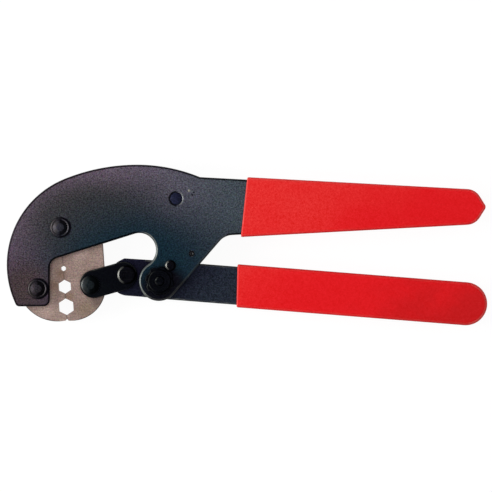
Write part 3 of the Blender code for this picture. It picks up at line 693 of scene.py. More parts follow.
def blacked_steel(name, tint_of, worn_and_highlight, rubbed_evenly, rough, ring_share=0.0, contrast=0.8):
    """Blacked steel: uneven tint, close grain, rubbed rims with painted highlights and painted
    shade, and hairline scratches.
    """
    finish, shader, spot = blank_finish(name, 1.0)
    grains = use(fine_grain, spot, Scale=1400.0, Cast=0.32)
    grain = grains["Grain"]
    rims = use(rim_wear_light_and_shade, spot, Scale=260.0, Spared=0.5, Even=rubbed_evenly)
    smudge = use(hand_smudges, spot, Scale=60.0)["Smudge"]
    line = use(hairlines, spot, Scale=90.0, Spared=0.68)["Line"]
    ring = use(turning_marks, spot, Pitch=0.3)["Ring"]
    speckle = spread(grain, 0.22, 0.78, 1.0 - contrast, 1.0 + contrast)
    tint = times(tint_of(spot), speckle)
    tint = times(tint, grains["Mottle"])
    # Painted shade: darkens the rims marked dark
    tint = times(tint, scaled(rims["Painted Shade"], -0.82, 1.0))
    # Rubbed rims, bare from wear and brighter as painted highlights
    rubbed = scaled(rims["Mask"], 0.75)
    bare = work_out("MAXIMUM", rubbed, scaled(line, 0.04))
    colour = blend(bare, tint, worn_and_highlight)
    gloss = scaled(smudge, 0.10, rough)
    gloss = scaled(grain, 0.10, gloss)
    gloss = scaled(rubbed, -0.10, gloss)
    height = scaled(ring, ring_share, grain)
    height = scaled(line, -0.5, height)
    dress(shader, colour, gloss, height, 0.35, 0.02)
    return finish


def split_shade(spot):
    """Painted shade along the split of the dies, darkest at the split and gone close beside it."""
    across = (cos(DIE_TILT), sin(DIE_TILT), 0.0)
    split = jaw_pivot.dot(Vector(across))
    place = work_out_vectors("DOT_PRODUCT", spot, across)["Value"]
    beside = work_out("ABSOLUTE", work_out("SUBTRACT", place, split))
    return spread(beside, 0.06 * MM, 0.28 * MM, 0.55, 1.0)


def ground_steel():
    """Bare die steel, surface ground, with a brown cast, grinding lines, oil stains, painted light
    where the lip shades it, and painted shade along the split and on the rims.
    """
    finish, shader, spot = blank_finish("ground die steel", 0.9)
    lines = cloud(stretched(spot, -32.0, (1.0, 26.0, 1.0)), 160.0, 3.0, 0.6)
    grains = use(fine_grain, spot, Scale=1400.0, Cast=0.25)
    grain = grains["Grain"]
    rims = use(rim_wear_light_and_shade, spot, Scale=320.0, Spared=0.42, Even=0.2)
    oiled = use(hand_smudges, spot, Scale=110.0)["Smudge"]
    line = use(hairlines, spot, Scale=120.0, Spared=0.66)["Line"]
    colour = blend(oiled, (0.245, 0.170, 0.147), (0.325, 0.235, 0.205))
    colour = spread_stains_light_and_shade(spot, colour, DIE_STAINS_AND_LIGHT)
    speckle = scaled(lines, 0.4, grain)
    colour = times(colour, spread(speckle, 0.42, 0.98, 0.52, 1.48))
    colour = times(colour, grains["Mottle"])
    bright = work_out("MAXIMUM", scaled(rims["Mask"], 0.4), scaled(line, 0.2))
    colour = blend(bright, colour, (0.46, 0.38, 0.34))
    # Painted shade along the split and on the rims marked dark
    colour = times(colour, scaled(split_shade(spot), scaled(rims["Painted Shade"], -0.9, 1.0)))
    gloss = scaled(lines, 0.22, 0.30)
    gloss = scaled(oiled, 0.08, gloss)
    height = scaled(grain, 0.5, lines)
    dress(shader, colour, gloss, height, 0.30, 0.02)
    return finish


def turned_steel():
    """Plain turned steel of the spacers and washers."""
    finish, shader, spot = blank_finish("turned spacer steel", 0.95)
    ring = use(turning_marks, spot, Pitch=0.2)["Ring"]
    grain = use(fine_grain, spot, Scale=1800.0)["Grain"]
    smudge = use(hand_smudges, spot, Scale=140.0)["Smudge"]
    colour = blend(smudge, (0.20, 0.19, 0.185), (0.34, 0.33, 0.325))
    colour = times(colour, spread(grain, 0.3, 0.7, 0.85, 1.15))
    gloss = scaled(smudge, 0.15, 0.28)
    dress(shader, colour, gloss, scaled(ring, 0.8, grain), 0.3, 0.015)
    return finish


def dipped_vinyl():
    """Red dipped vinyl: satin skin with a faint pebble, soft runs, scuffs and painted highlights on
    the rims, and painted shade deepening the red away from the mouth, down to the lower grip and at
    the tip.
    """
    mouth, palm, heel, tip = -21.5 * MM, 88.5 * MM, 95.0 * MM, 160.0 * MM
    finish, shader, spot = blank_finish("red dipped vinyl", 0.0)
    shader.inputs["Specular IOR Level"].default_value = 0.09
    pebble = use(fine_grain, spot, Scale=1300.0)["Grain"]
    rims = use(rim_wear_light_and_shade, spot, Scale=150.0, Spared=0.5, Even=0.55)
    smudge = use(hand_smudges, spot, Scale=42.0)["Smudge"]
    line = use(hairlines, spot, Scale=70.0, Spared=0.70)["Line"]
    runs = cloud(stretched(spot, 0.0, (0.5, 1.0, 1.0)), 75.0, 2.0, 0.4)
    place = parts_of(spot)
    # Painted shade: the red is paler by the mouth and deepens towards the palm and the lower grip
    along = scaled(place["Y"], -1.3, place["X"])
    along = scaled(smudge, 0.03, along)
    painted_shade_along_grip = spread(along, mouth, palm)
    colour = blend(painted_shade_along_grip, (0.78, 0.024, 0.022), (0.76, 0.006, 0.010))
    # Painted shade: darker towards the tip
    painted_tip_shade = spread(along, heel, tip)
    colour = blend(painted_tip_shade, colour, (0.58, 0.006, 0.008))
    speckle = blend(spread(pebble, 0.24, 0.76), (0.92, 0.0, 0.0), (1.08, 2.0, 2.0))
    colour = times(colour, speckle)
    # Scuffs, and painted highlights in pale pink on the rims
    scuffs_and_highlight = work_out("MAXIMUM", scaled(rims["Mask"], 0.4), scaled(line, 0.05))
    colour = blend(scuffs_and_highlight, colour, (0.84, 0.20, 0.17))
    # Painted shade on the rims marked dark
    colour = times(colour, scaled(rims["Painted Shade"], -0.72, 1.0))
    gloss = scaled(smudge, 0.10, 0.44)
    gloss = scaled(scuffs_and_highlight, 0.5, gloss)
    height = scaled(runs, 3.0, pebble)
    dress(shader, colour, gloss, height, 0.25, 0.03)
    return finish


plate_finish = blacked_steel(
    "blacked plate steel", plate_tint,
    worn_and_highlight=(0.22, 0.23, 0.21), rubbed_evenly=0.6, rough=0.38, contrast=0.95,
)
# The dark tone by the throat is painted shade, where the bar sits recessed under the cheeks
bar_finish = blacked_steel(
    "blacked bar steel",
    throat_tint_and_shade((0.0112, 0.0110, 0.025), (0.014, 0.018, 0.034), (0.032, 0.042, 0.061)),
    worn_and_highlight=(0.10, 0.105, 0.10), rubbed_evenly=0.3, rough=0.38, contrast=1.0,
)
rivet_finish = blacked_steel(
    "blacked rivet steel",
    throat_tint_and_shade((0.022, 0.029, 0.046), (0.034, 0.027, 0.031), (0.009, 0.010, 0.032)),
    worn_and_highlight=(0.155, 0.133, 0.116), rubbed_evenly=0.8, rough=0.44, ring_share=0.5,
)
# The dark tone by the throat is painted shade, where the links sit recessed under the cheeks
link_finish = blacked_steel(
    "oiled black steel",
    throat_tint_and_shade((0.004, 0.0045, 0.007), (0.010, 0.014, 0.016), (0.006, 0.006, 0.009)),
    worn_and_highlight=(0.075, 0.08, 0.072), rubbed_evenly=0.25, rough=0.32, ring_share=0.3,
)
pin_finish = blacked_steel(
    "link pin steel",
    throat_tint_and_shade((0.014, 0.019, 0.022), (0.014, 0.019, 0.022), (0.006, 0.006, 0.009)),
    worn_and_highlight=(0.125, 0.122, 0.113), rubbed_evenly=0.85, rough=0.30, ring_share=0.3,
)
# The light tone towards the tail is a painted highlight for the glints of the lock screw; the dark
# tone by the throat is painted shade on the toggle pin
screw_finish = blacked_steel(
    "lock screw steel",
    throat_tint_and_shade((0.004, 0.004, 0.006), (0.006, 0.006, 0.009), (0.025, 0.024, 0.040)),
    worn_and_highlight=(0.18, 0.18, 0.165), rubbed_evenly=0.85, rough=0.30, ring_share=0.3,
)
die_finish = ground_steel()
spacer_finish = turned_steel()
grip_finish = dipped_vinyl()


# Cheeks: two plates of one outline, drawn clockwise from the heel of the beak

def tang_end(corner, tip, tip_at):
    """The end of a tang or of the sleeve on it: two broad corners and a small tip between them."""
    corner_at, corner_off, edge_turn, tip_turn = 136.984, 1.07, 86.91, 32.08
    return [
        (corner_at, UPPER_AXIS + corner_off, corner, edge_turn, tip_turn),
        (tip_at, UPPER_AXIS, tip, tip_turn, -tip_turn),
        (corner_at, UPPER_AXIS - corner_off, corner, -tip_turn, -edge_turn),
    ]


CHEEK_OUTLINE = [
    # Heel of the beak, head and crown
    (-62.159, -9.5, 1.8, 270, 205.24),
    (-26.52, 7.3, 41.2, 205.24, 112.1),
    (-9.62, -34.324, 86.124, 112.1, 90),
    (-9.62, -21.6, 73.4, 90, 67.64),
    *tang_end(5.8, 1.2, 143.084),
    # Neck under the tang, foot round the handle pivot and throat
    (32.94, 12.697, 7.8, 93.09, 139.26),
    (0.0, 0.0, 8.873, -40.74, -237.5),
    (-8.824, 13.851, 7.55, -57.5, 107.5),
    # Lip over the link, in short stretches
    (-16.0, 19.505), (-20.0, 18.243), (-24.0, 16.982),
    # Inner corner and tip of the beak
    (-43.899, 5.885, 4.6, 107.5, 180),
    (-51.499, -8.3, 3.0, 0, -90),
]


def cheek_rim_wear_and_shade(middle):
    """How far the rim of a cheek is rubbed and lit: bare with a painted highlight by the throat and
    foot, and painted dark shade round the head.
    """
    crown, tang, lip = 26, 30, -11
    throat_top, throat_fade = 8, 3
    foot, foot_fade, foot_loss = -6.2, 3.2, 0.8
    x, y = middle.x / MM, middle.y / MM
    inner = abs(middle.z) < (CHEEK_INNER + CHEEK_OUTER) / 2 * MM
    if inner or y > crown or x > tang or x < lip:
        return -1.0
    if y > throat_top and x < 0:
        return min(1.0, (x - lip) / throat_fade - 1)
    past_foot = min(1.0, max(0.0, (x - foot) / foot_fade)) if y < 0 or x > 0 else 0.0
    return 1.0 - foot_loss * past_foot


def make_cheeks():
    """Both cheeks, sawn alike and drilled for their own pivot journals."""
    front = saw_plate("front_cheek_plate", CHEEK_OUTLINE, CHEEK_INNER, CHEEK_OUTER)
    ease_rims(front, (CHEEK_INNER, CHEEK_OUTER), 0.85, 5, rubbed=cheek_rim_wear_and_shade)
    rear = another(front, "rear_cheek_plate")
    flip_over(rear)
    sunk = hole_at(frame_rivet, FRAME_RIVET_HOLE)
    shared = [
        hole_at(jaw_pivot, RIVET_HOLE), hole_at(die_rivet, RIVET_HOLE),
        sunk, hole_at(stop_pin, STOP_PIN_HOLE),
        *(hole_at(rivet, TANG_RIVET_HOLE) for rivet in tang_rivets),
    ]
    front_only = [hole_at(wheel_axis, FRONT_JOURNAL_HOLE), hole_at(lock_screw, LOCK_HOLE)]
    rear_only = [hole_at(wheel_axis, REAR_JOURNAL_HOLE)]
    drill(front, shared + front_only, CHEEK_INNER - 1, CHEEK_OUTER + 1)
    drill(rear, shared + rear_only, -CHEEK_OUTER - 1, -CHEEK_INNER + 1)
    for cheek, face, node in (
        (front, CHEEK_OUTER, "front_cheek"), (rear, -CHEEK_OUTER, "rear_cheek"),
    ):
        # Painted highlight on the right side of the countersink, painted shade on the left
        countersink(cheek, *sunk, face, 0.6, 0.33, worn_lit_side_and_shade(1, 0.75, *sunk[:2]))
        hand_over(cheek, handle_pivot, plate_finish, node)


# Dies: hex cavities along the split, a tongue on the jaw and a fork on the fixed die

# Each cavity's size across the flats and its height from the jaw pivot, from the foot up
CAVITIES = [(6.48, -35.5005), (5.41, -26.536), (2.1, -18.4)]
HALF_GAP = 0.02
JAW_FOOT = -40.868
EYE, EYE_CLEAR = 8.5, 9.0
SHARP_BY_SPLIT = 3.3


def split_edge():
    """The edge of the jaw at the split, from its foot to its eye, with half of each cavity."""
    edge = [(HALF_GAP, JAW_FOOT)]
    for flats, middle in CAVITIES:
        side = flats / 2
        corner, tip = side / sqrt(3), (flats - HALF_GAP) / sqrt(3)
        edge += [
            (HALF_GAP, middle - tip), (side, middle - corner),
            (side, middle + corner), (HALF_GAP, middle + tip),
        ]
    return edge + [(HALF_GAP, -EYE)]


def saw_die(name, outline):
    """A die block sawn along an outline, its rims broken and painted dark as shade but for those by
    the split.
    """
    die = saw_plate(name, outline, -DIE_FACE, DIE_FACE)
    ease_rims(die, (-DIE_FACE, DIE_FACE), 0.25, 2, SHARP_BY_SPLIT, lambda middle: -1.0)
    return die


def make_dies():
    """The fixed die under the beak and the jaw that closes on it."""
    split = split_edge()
    jaw = saw_die("moving_jaw_die", split + [
        (0.0, 0.0, EYE, 270, 51.8), (14.267, -5.5, 4.0, 51.8, 0),
        (2.888, -26.536, 15.379, 0, -98.05),
    ])
    for low, high in ((TONGUE_FACE, CHEEK_INNER), (-CHEEK_INNER, -TONGUE_FACE)):
        cut_away(jaw, round_stock(0, 0, EYE_CLEAR, low, high))
    pin_hole = hole_at(link_pin, PIN_HOLE, jaw_pivot, DIE_TILT)
    drill(jaw, [(0, 0, RIVET_HOLE), pin_hole], -CHEEK_INNER, CHEEK_INNER)

    mirrored = [(-x, y) for x, y in split]
    fixed = saw_die("fixed_die_block", [(-0.75, -41.642)] + mirrored + [
        (0.0, 0.0, EYE, 270, 556.83), (-3.0, -23.581, 18.2, 196.83, 277.1),
    ])
    cut_away(fixed, round_stock(0, 0, EYE_CLEAR, -FORK_FACE, FORK_FACE))
    rivet_hole = hole_at(die_rivet, RIVET_HOLE, jaw_pivot, DIE_TILT)
    drill(fixed, [(0, 0, RIVET_HOLE), rivet_hole], -CHEEK_INNER, CHEEK_INNER)
    hand_over(jaw, jaw_pivot, die_finish, "moving_jaw", "jaw", DIE_TILT)
    hand_over(fixed, jaw_pivot, die_finish, "fixed_die", "frame", DIE_TILT)


# Rivets and pins

def make_head_rivets():
    """Rivets through the jaw pivot and the fixed die, each with a ridge round its dome."""
    dome, dome_foot, dome_top = 7.0, 3.3, 9.57
    rear_corner, rear_head, head = 0.5, 4.3, 4.45
    first = lathe("jaw_pivot_domed_rivet", [
        (0.0, -REAR_HEAD_FACE),
        (rear_head - rear_corner, rear_corner - REAR_HEAD_FACE, rear_corner, -90, 0),
        (rear_head, -HEAD_SEAT), (RIVET_SHANK, -HEAD_SEAT), (RIVET_SHANK, HEAD_SEAT),
        (head, HEAD_SEAT), (head, 8.5), (4.3, 8.72),
        (3.9, 9.0), (3.8, 9.02), (3.7, 9.0), (dome_foot, 8.76),
        (0.0, dome_top - dome, dome, degrees(acos(dome_foot / dome)), 90),
    ])
    second = another(first, "die_domed_rivet")
    # Painted highlights on the left of the dome and of the edge, on both sides of the ridge, and
    # painted shade across
    for rivet, on_dome, on_ridge, on_edge in ((first, 0.24, 0.36, 0.38), (second, 0.08, 0.20, 0.40)):
        open_piece(rivet)
        for low, high, rubbed in (
            (1.6, dome_foot, worn_lit_side_and_shade(-1, on_dome)), (dome_foot, 3.72, worn_lit_side_and_shade(0, on_ridge)),
            (3.88, 4.46, worn_lit_side_and_shade(-1, on_edge)),
        ):
            pick_faces(rivet, lambda middle, normal: (
                normal.z > 0.1 and low * MM < hypot(middle.x, middle.y) < high * MM))
            mark_rim_wear_and_light(rivet, rubbed)
    hand_over(first, jaw_pivot, rivet_finish, "jaw_pivot_rivet")
    hand_over(second, die_rivet, rivet_finish, "die_rivet")


def turn_ring(name, inner, outer, low, high, break_edge=0.18):
    """A washer or sleeve with broken edges."""
    return lathe(name, [
        (inner, low + break_edge), (inner + break_edge, low), (outer - break_edge, low),
        (outer, low + break_edge), (outer, high - break_edge), (outer - break_edge, high),
        (inner + break_edge, high), (inner, high - break_edge), (inner, low + break_edge),
    ])


def make_frame_rivet():
    """The flush rivet of the frame, swollen inside the sleeve that parts the cheeks."""
    swell, swell_hole = 2.88, 2.9
    rivet = lathe("frame_flush_rivet", both_ends([
        (swell, 3.0), (FRAME_RIVET, 3.2), (FRAME_RIVET, FLUSH_FACE - 0.25),
        (2.45, FLUSH_FACE), (0.0, FLUSH_FACE - 0.16),
    ]))
    hand_over(rivet, frame_rivet, rivet_finish, "frame_rivet")
    sleeve = turn_ring("frame_sleeve", swell_hole, 4.7, -LINK_OUTER, LINK_OUTER)
    hand_over(sleeve, frame_rivet, spacer_finish, "frame_spacer")


def make_spacers():
    """Spacers between the dies and the cheeks, and the washers of the handle pivot."""
    first = turn_ring("jaw_front_spacer", RIVET_HOLE, 4.8, LINK_INNER, LINK_OUTER)
    drop = Vector((0.0, 0.0, -(LINK_INNER + LINK_OUTER) * MM))
    rest = [another(first, name)
            for name in ("jaw_rear_spacer", "die_front_spacer", "die_rear_spacer")]
    for spacer, place, node in zip(
        [first] + rest, (jaw_pivot, jaw_pivot + drop, die_rivet, die_rivet + drop),
        ("jaw_spacer_front", "jaw_spacer_rear", "die_spacer_front", "die_spacer_rear"),
    ):
        hand_over(spacer, place, spacer_finish, node)
    for name, inner, low, high, node in (
        ("pivot_front_washer", FRONT_JOURNAL_HOLE, WASHER_INNER, LINK_OUTER, "pivot_washer_front"),
        ("pivot_rear_washer", REAR_JOURNAL_HOLE, -LINK_OUTER, -WASHER_INNER, "pivot_washer_rear"),
    ):
        washer = turn_ring(name, inner, 6.4, low, high, 0.12)
        hand_over(washer, wheel_axis, spacer_finish, node)


def make_link_pins():
    """Pins at both ends of the toggle link, their heads coned to a domed or a sunk top."""
    cone_foot, cone_top, top = 5.9, 3.58, 6.2

    def on_cone(middle, normal):
        return abs(middle.z) > cone_foot * MM and hypot(middle.x, middle.y) > cone_top * MM

    first = lathe("link_domed_pin", both_ends([
        (PIN_SHANK, PIN_SEAT), (PIN_HEAD, PIN_SEAT), (PIN_HEAD, 5.83), (4.05, 5.98),
        (0.0, -4.16, 11.0, 70.9, 90),
    ]))
    # Painted highlights on the left of each head, painted shade on the right
    pick_faces(first, lambda middle, normal: abs(middle.z) > top * MM)
    mark_rim_wear_and_light(first, worn_lit_side_and_shade(-1, 0.12))
    pick_faces(first, on_cone)
    mark_rim_wear_and_light(first, worn_lit_side_and_shade(-1, 0.60))
    second = lathe("toggle_dished_pin", [
        (0.0, -6.36), (3.4, -6.36), (4.05, -6.0), (PIN_HEAD, -5.85), (PIN_HEAD, -PIN_SEAT),
        (PIN_SHANK, -PIN_SEAT), (PIN_SHANK, PIN_SEAT), (PIN_HEAD, PIN_SEAT), (PIN_HEAD, 5.85),
        (4.05, 6.0), (3.4, 6.36), (2.2, 6.36), (1.9, 6.3), (0.0, 6.3),
    ])
    pick_faces(second, on_cone)
    mark_rim_wear_and_light(second, worn_lit_side_and_shade(-1, 0.75))
    hand_over(first, link_pin, pin_finish, "link_pin", "toggle_link")
    hand_over(second, toggle_pin, screw_finish, "toggle_pin", "lower_handle")


def make_stop_pin():
    """A dowel with dished ends."""
    corner = 0.2
    pin = lathe("dished_stop_pin", both_ends([
        (STOP_PIN - corner, FLUSH_FACE - corner, corner, 0, 90), (0.8, FLUSH_FACE),
        (0.45, FLUSH_FACE - 0.3), (0.0, FLUSH_FACE - 0.45),
    ]))
    pick_faces(pin, lambda middle, normal: abs(middle.z) > (FLUSH_FACE - corner) * MM)
    mark_rim_wear_and_light(pin, lambda middle: 0.35)
    hand_over(pin, stop_pin, screw_finish, "stop_pin")


# Handle pivot with its adjuster

def make_eccentric_pin():
    """The stepped pivot pin, eccentric in the handle, with a slotted end in the wheel."""
    flange, corner, break_edge = 5.8, 0.4, 0.2
    pin = lathe("eccentric_pivot_pin", [
        (0.0, -8.9), (2.2, -8.9), (2.5, -REAR_HEAD_FACE),
        (flange - corner, corner - REAR_HEAD_FACE, corner, -90, 0), (flange, -HEAD_SEAT),
        (REAR_JOURNAL, -HEAD_SEAT), (REAR_JOURNAL, -WASHER_INNER), (FRONT_JOURNAL, -WASHER_INNER),
        (FRONT_JOURNAL, CHEEK_OUTER - break_edge), (FRONT_JOURNAL - break_edge, CHEEK_OUTER),
        (STUB, CHEEK_OUTER), (STUB, 9.44), (1.65, 9.69), (0.0, WHEEL_HIGH),
    ])
    # Painted highlight on the left of the end, painted shade on the right
    pick_faces(pin, lambda middle, normal: middle.z > 9.5 * MM and normal.z < 0.95)
    mark_rim_wear_and_light(pin, worn_lit_side_and_shade(-1, 0.8))
    off_centre = (handle_pivot - wheel_axis).x / MM
    combine(pin, round_stock(off_centre, 0, LOBE, -4.6, WASHER_INNER), "UNION")
    mill(pin, (-4, -0.3, 9.1), (4, 0.3, 10.3))
    hand_over(pin, wheel_axis, link_finish, "eccentric_pin")


def wheel_outline():
    """The rim of the adjuster wheel, with eight scallops for the lock screw."""
    rim, reach, notch, count, first_turn = 6.5, 8.45, 2.65, 8, radians(55)
    half = acos((rim ** 2 + reach ** 2 - notch ** 2) / (2 * rim * reach))
    pitch = 2 * pi / count
    outline = []
    for i in range(count):
        turn = first_turn + i * pitch
        x, y = reach * cos(turn), reach * sin(turn)
        first, last = turn - half, turn + half
        begin = atan2(rim * sin(first) - y, rim * cos(first) - x)
        end = atan2(rim * sin(last) - y, rim * cos(last) - x)
        while end > begin:
            end -= 2 * pi
        outline.append((x, y, notch, degrees(begin), degrees(end)))
        outline.append((0.0, 0.0, rim, degrees(last), degrees(turn + pitch - half)))
    return outline


def make_adjuster():
    """The scalloped and grooved adjuster wheel and the slotted screw that locks it."""
    wheel = saw_plate("scalloped_adjuster_wheel", wheel_outline(), WHEEL_LOW, WHEEL_HIGH)
    # Painted highlights on the left of the wheel's rims, painted shade on the right
    ease_rims(wheel, (WHEEL_LOW, WHEEL_HIGH), 0.35, 3, rubbed=worn_lit_side_and_shade(-1, 0.4))
    above = 10.5
    dish = lathe("dish", [
        (3.1, 9.45), (3.9, 9.45), (4.2, 9.75), (4.2, above), (2.8, above), (2.8, 9.75), (3.1, 9.45),
    ])
    cut_away(wheel, dish)
    groove = lathe("groove", [(5.1, 9.5), (5.3, 9.78), (5.3, above), (3.3, above), (5.1, 9.5)])
    cut_away(wheel, groove)
    open_piece(wheel)
    # Painted highlight on the left of the ring between dish and groove, painted shade on the right
    pick_faces(wheel, lambda middle, normal: (
        middle.z > 9.5 * MM and 4.6 * MM < hypot(middle.x, middle.y) < 5.15 * MM))
    mark_rim_wear_and_light(wheel, worn_lit_side_and_shade(-1, 0.8))
    drill(wheel, [(0, 0, STUB_HOLE)], WHEEL_LOW - 1, WHEEL_HIGH + 1)
    hand_over(wheel, wheel_axis, link_finish, "adjuster_wheel")

    head = 2.4
    screw = lathe("slotted_lock_screw", [
        (0.0, 5.5), (1.2, 5.5), (LOCK_SHANK, 5.7), (LOCK_SHANK, 8.3), (2.3, 8.3), (head, 8.4),
        (head, 9.05), (2.36, 9.12), (1.92, 9.36), (1.7, 9.44), (0.0, 9.5),
    ])
    # Painted highlight on the left of the screw head, painted shade on the right
    pick_faces(screw, lambda middle, normal: middle.z > 9.0 * MM and normal.z < 0.95)
    mark_rim_wear_and_light(screw, worn_lit_side_and_shade(-1, 1.0))
    mill(screw, (-0.3, -4, 9.25), (0.3, 4, above))
    hand_over(screw, lock_screw, screw_finish, "lock_screw")


# Lower handle and toggle link

BAR_END = 137.1


def make_bar():
    """The lower handle bar, milled thin at its nose."""
    half, nose_half, nose_reach, nose_step, nose_cut = 8.5, 8.25, 13.9, -7.02, 32
    nose_corner = nose_reach + nose_half * tan(radians(nose_cut / 2))
    bar = saw_plate("lower_handle_flat_bar", [
        (BAR_END, BAR_AXIS, half, -90, 90), (0.0, BAR_AXIS + half),
        (-nose_corner, BAR_AXIS + nose_half),
        (-nose_reach, BAR_AXIS, nose_half, 90 + nose_cut, 270),
        (nose_step, BAR_AXIS - nose_half), (0.0, BAR_AXIS - half),
    ], -BAR_FACE, BAR_FACE)
    ease_rims(bar, (-BAR_FACE, BAR_FACE), 0.8, 4)
    for low, high in ((DIE_FACE, CHEEK_INNER), (-CHEEK_INNER, -DIE_FACE)):
        mill(bar, (-42, -17, low), (nose_step, 17, high))
    pin_hole = hole_at(toggle_pin, PIN_HOLE, handle_pivot, HANDLE_TILT)
    drill(bar, [(0, 0, LOBE_BORE), pin_hole], -CHEEK_INNER, CHEEK_INNER)
    hand_over(bar, handle_pivot, bar_finish, "lower_handle_bar",
              "lower_handle", HANDLE_TILT)


def make_links():
    """Both plates of the toggle link."""
    half, inset = 6.25, 1.6
    front = saw_plate("front_toggle_link", [
        (link_length - inset, 0.0, half, -90, 90), (inset, 0.0, half, 90, 270),
    ], LINK_INNER, LINK_OUTER)
    # Painted highlight along the upper rim of the outer face
    ease_rims(front, (LINK_OUTER,), 0.5, 4, rubbed=lambda middle: 0.8 if middle.y > 0 else 0.0)
    ease_rims(front, (LINK_INNER,), 0.3, 2, rubbed=lambda middle: 0.0)
    drill(front, [(0, 0, PIN_HOLE), (link_length, 0, LOOSE_PIN_HOLE)],
          LINK_INNER - 1, LINK_OUTER + 1)
    rear = another(front, "rear_toggle_link")
    flip_over(rear)
    for link, node in ((front, "front_link"), (rear, "rear_link")):
        hand_over(link, link_pin, link_finish, node, "toggle_link", link_tilt)


# Grips: dipped sleeves, cut at the mouth and hollowed for the handles

def dip_grip(name, outline, face, mouth_lean, axis, sections):
    """A sleeve cut at its mouth and hollowed; a section is a place and half the hollow's width."""
    rim, lip, wall, tip_glint_from = 1.5, 0.6, 0.42, 139
    mouth = sections[0][0]

    # Painted light on the rims: a glint at the tip and a lighter band by the faces, with painted
    # shade on the steep sides
    def rubbed(middle):
        if middle.x > tip_glint_from * MM:
            return 1.0
        return 0.3 if abs(middle.z) > (face - rim / 2) * MM else -0.25

    grip = saw_plate(name, outline, -face, face)
    ease_rims(grip, (-face, face), rim, 6, rubbed=rubbed)
    pick_all()
    along = Vector((cos(mouth_lean), sin(mouth_lean), 0))
    bpy.ops.mesh.bisect(
        plane_co=(mouth * MM, axis * MM, 0), plane_no=along, use_fill=True, clear_inner=True,
    )
    close_skin()

    def on_mouth(middle, normal):
        return normal.dot(along) < -0.99 and abs(middle.x - mouth * MM) < 0.5 * MM

    pick_faces(grip, on_mouth)
    bpy.ops.mesh.region_to_loop()
    bpy.ops.mesh.bevel(offset=lip * MM, segments=4, affect="EDGES", clamp_overlap=False)
    # Painted highlight along the lip of the mouth
    mark_rim_wear_and_light(grip)
    pick_faces(grip, on_mouth)
    bpy.ops.mesh.inset(thickness=wall * MM, depth=0.0)
    at, width = sections[0]
    for place, half in sections[1:]:
        step = (place - at) * MM
        bpy.ops.mesh.extrude_region_move(TRANSFORM_OT_translate={"value": (step, 0, 0)})
        bpy.ops.transform.resize(
            value=(0, half / width, 1), center_override=(place * MM, axis * MM, 0))
        at, width = place, half
    return grip


def make_grips():
    """The tapered upper grip on the cheeks and the round-ended lower grip on the bar."""
    upper_start, upper_half = 30.0, 13.752
    upper = dip_grip("upper_dipped_grip", [
        (upper_start, UPPER_AXIS + upper_half), *tang_end(6.9, 1.9, 143.556),
        (upper_start, UPPER_AXIS - upper_half),
    ], REST_FACE, atan2(-2.9, 26.8), UPPER_AXIS,
        [(37.95, 12.3), (134.0, 7.34), (140.0, 6.4), (142.0, 4.55), (144.75, 0.4)])
    hand_over(upper, handle_pivot, grip_finish, "upper_grip")
    lower_start, lower_half = 29.0, 9.6
    lower = dip_grip("lower_dipped_grip", [
        (lower_start, BAR_AXIS + lower_half), (BAR_END, BAR_AXIS, lower_half, 90, -90),
        (lower_start, BAR_AXIS - lower_half),
    ], LOWER_GRIP_FACE, atan2(1.05, 19.2), BAR_AXIS,
        [(34.85, 8.58), (BAR_END, 8.58), (140.11, 8.07), (142.76, 6.6), (144.6, 4.3), (145.7, 1.5)])
    hand_over(lower, handle_pivot, grip_finish, "lower_grip",
              "lower_handle", HANDLE_TILT)


make_cheeks()
make_dies()
make_head_rivets()
make_frame_rivet()
make_spacers()
make_link_pins()
make_stop_pin()
make_eccentric_pin()
make_adjuster()
make_bar()
make_links()
make_grips()

# The rivets and sleeves inside the upper grip keep their solids
for node, finish in (
    ("tang_rivet_inner", rivet_finish), ("tang_rivet_outer", rivet_finish),
    ("tang_spacer_inner", spacer_finish), ("tang_spacer_outer", spacer_finish),
):
    finishes = frame["nodes"][node].data.materials
    finishes.clear()
    finishes.append(finish)


# Studio

FLOOR_SIZE, FLOOR_DROP = 6.0, 0.3 * MM
EYE_HEIGHT, VIEW_WIDTH, SENSOR_WIDTH = 2.4, 0.21894, 36.0

# Each lamp's place, width and power
SOFTBOXES = {
    "overhead_softbox": ((-0.05, 0.42, 1.00), 0.8, 2.3),
    "fore_softbox": ((-0.05, -0.48, 0.95), 0.7, 2.1),
    "right_softbox": ((0.75, 0.15, 0.35), 0.35, 1.1),
    "left_softbox": ((-0.70, 0.02, 0.45), 0.45, 5.6),
}


def looked_at(tree):
    """1 for what the camera sees, straight, in metal or through glass, and 0 for other light."""
    ray = put(tree, "LightPath").outputs
    seen = work_out("MAXIMUM", ray["Is Camera Ray"], ray["Is Glossy Ray"])
    return work_out("MAXIMUM", seen, ray["Is Transmission Ray"])


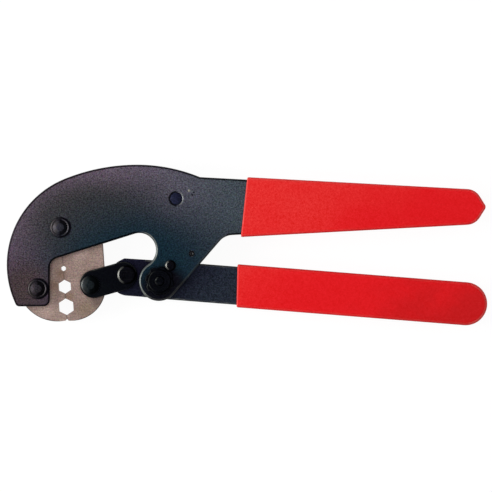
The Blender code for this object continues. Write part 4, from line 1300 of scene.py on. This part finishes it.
def lay_floor():
    """A pale floor that looks white and still takes the shadow of the tool."""
    floor = fresh(bpy.ops.mesh.primitive_plane_add, size=FLOOR_SIZE, location=(0, 0, -FLOOR_DROP))
    floor.name = "pale_floor"
    pale = bpy.data.materials.new("pale floor")
    pale.use_nodes = True
    tree = pale.node_tree
    tree.nodes.clear()
    seen = looked_at(tree)
    paint = blend(seen, (0.8, 0.8, 0.8), (0.08, 0.08, 0.08))
    matt = put(tree, "BsdfDiffuse", Color=paint)
    glow = put(tree, "Emission", Strength=scaled(seen, 0.945))
    above = put(tree, "AddShader", None, (matt.outputs[0], glow.outputs[0]))
    below = put(tree, "BsdfTransparent")
    from_below = put(tree, "NewGeometry").outputs["Backfacing"]
    sides = put(tree, "MixShader", None, (from_below, above.outputs[0], below.outputs[0]))
    put(tree, "OutputMaterial", Surface=sides.outputs[0])
    floor.data.materials.append(pale)


def light_room():
    """A grey room, lighter to the left, with walls that look white to the camera and in metal."""
    room = bpy.data.worlds.new("studio room")
    bpy.context.scene.world = room
    room.use_nodes = True
    tree = room.node_tree
    way = parts_of(put(tree, "TexCoord").outputs["Generated"])
    side = spread(way["X"], -1.0, 1.0, 0.36, 0.10)
    wall = spread(way["Z"], 0.30, 0.45, 1.0, 0.0)
    white = scaled(wall, looked_at(tree))
    tone = blend(white, side, (1.0, 1.0, 1.0))
    feed(tree.nodes["Background"].inputs["Color"], tone)


def hang_softbox(name, place, width, power):
    """A square soft lamp that faces the tool."""
    aim = (-Vector(place)).to_track_quat("-Z", "Y").to_euler()
    lamp = fresh(bpy.ops.object.light_add, type="AREA", location=place, rotation=aim)
    lamp.name = name
    lamp.data.size = width
    lamp.data.energy = power


def set_up_camera():
    """A camera high over the front cheek, with the view of the photo."""
    height = (REST_FACE + CHEEK_OUTER) * MM + EYE_HEIGHT
    camera = fresh(bpy.ops.object.camera_add, location=(-0.00051, -0.00042, height),
                   rotation=(0, 0, 0))
    camera.data.sensor_width = SENSOR_WIDTH
    camera.data.lens = SENSOR_WIDTH * EYE_HEIGHT / VIEW_WIDTH
    camera.data.clip_end = 20.0
    bpy.context.scene.camera = camera


lay_floor()
light_room()
for name, (place, width, power) in SOFTBOXES.items():
    hang_softbox(name, place, width, power)
set_up_camera()
bpy.context.scene.view_settings.view_transform = "Standard"

clear_bench()
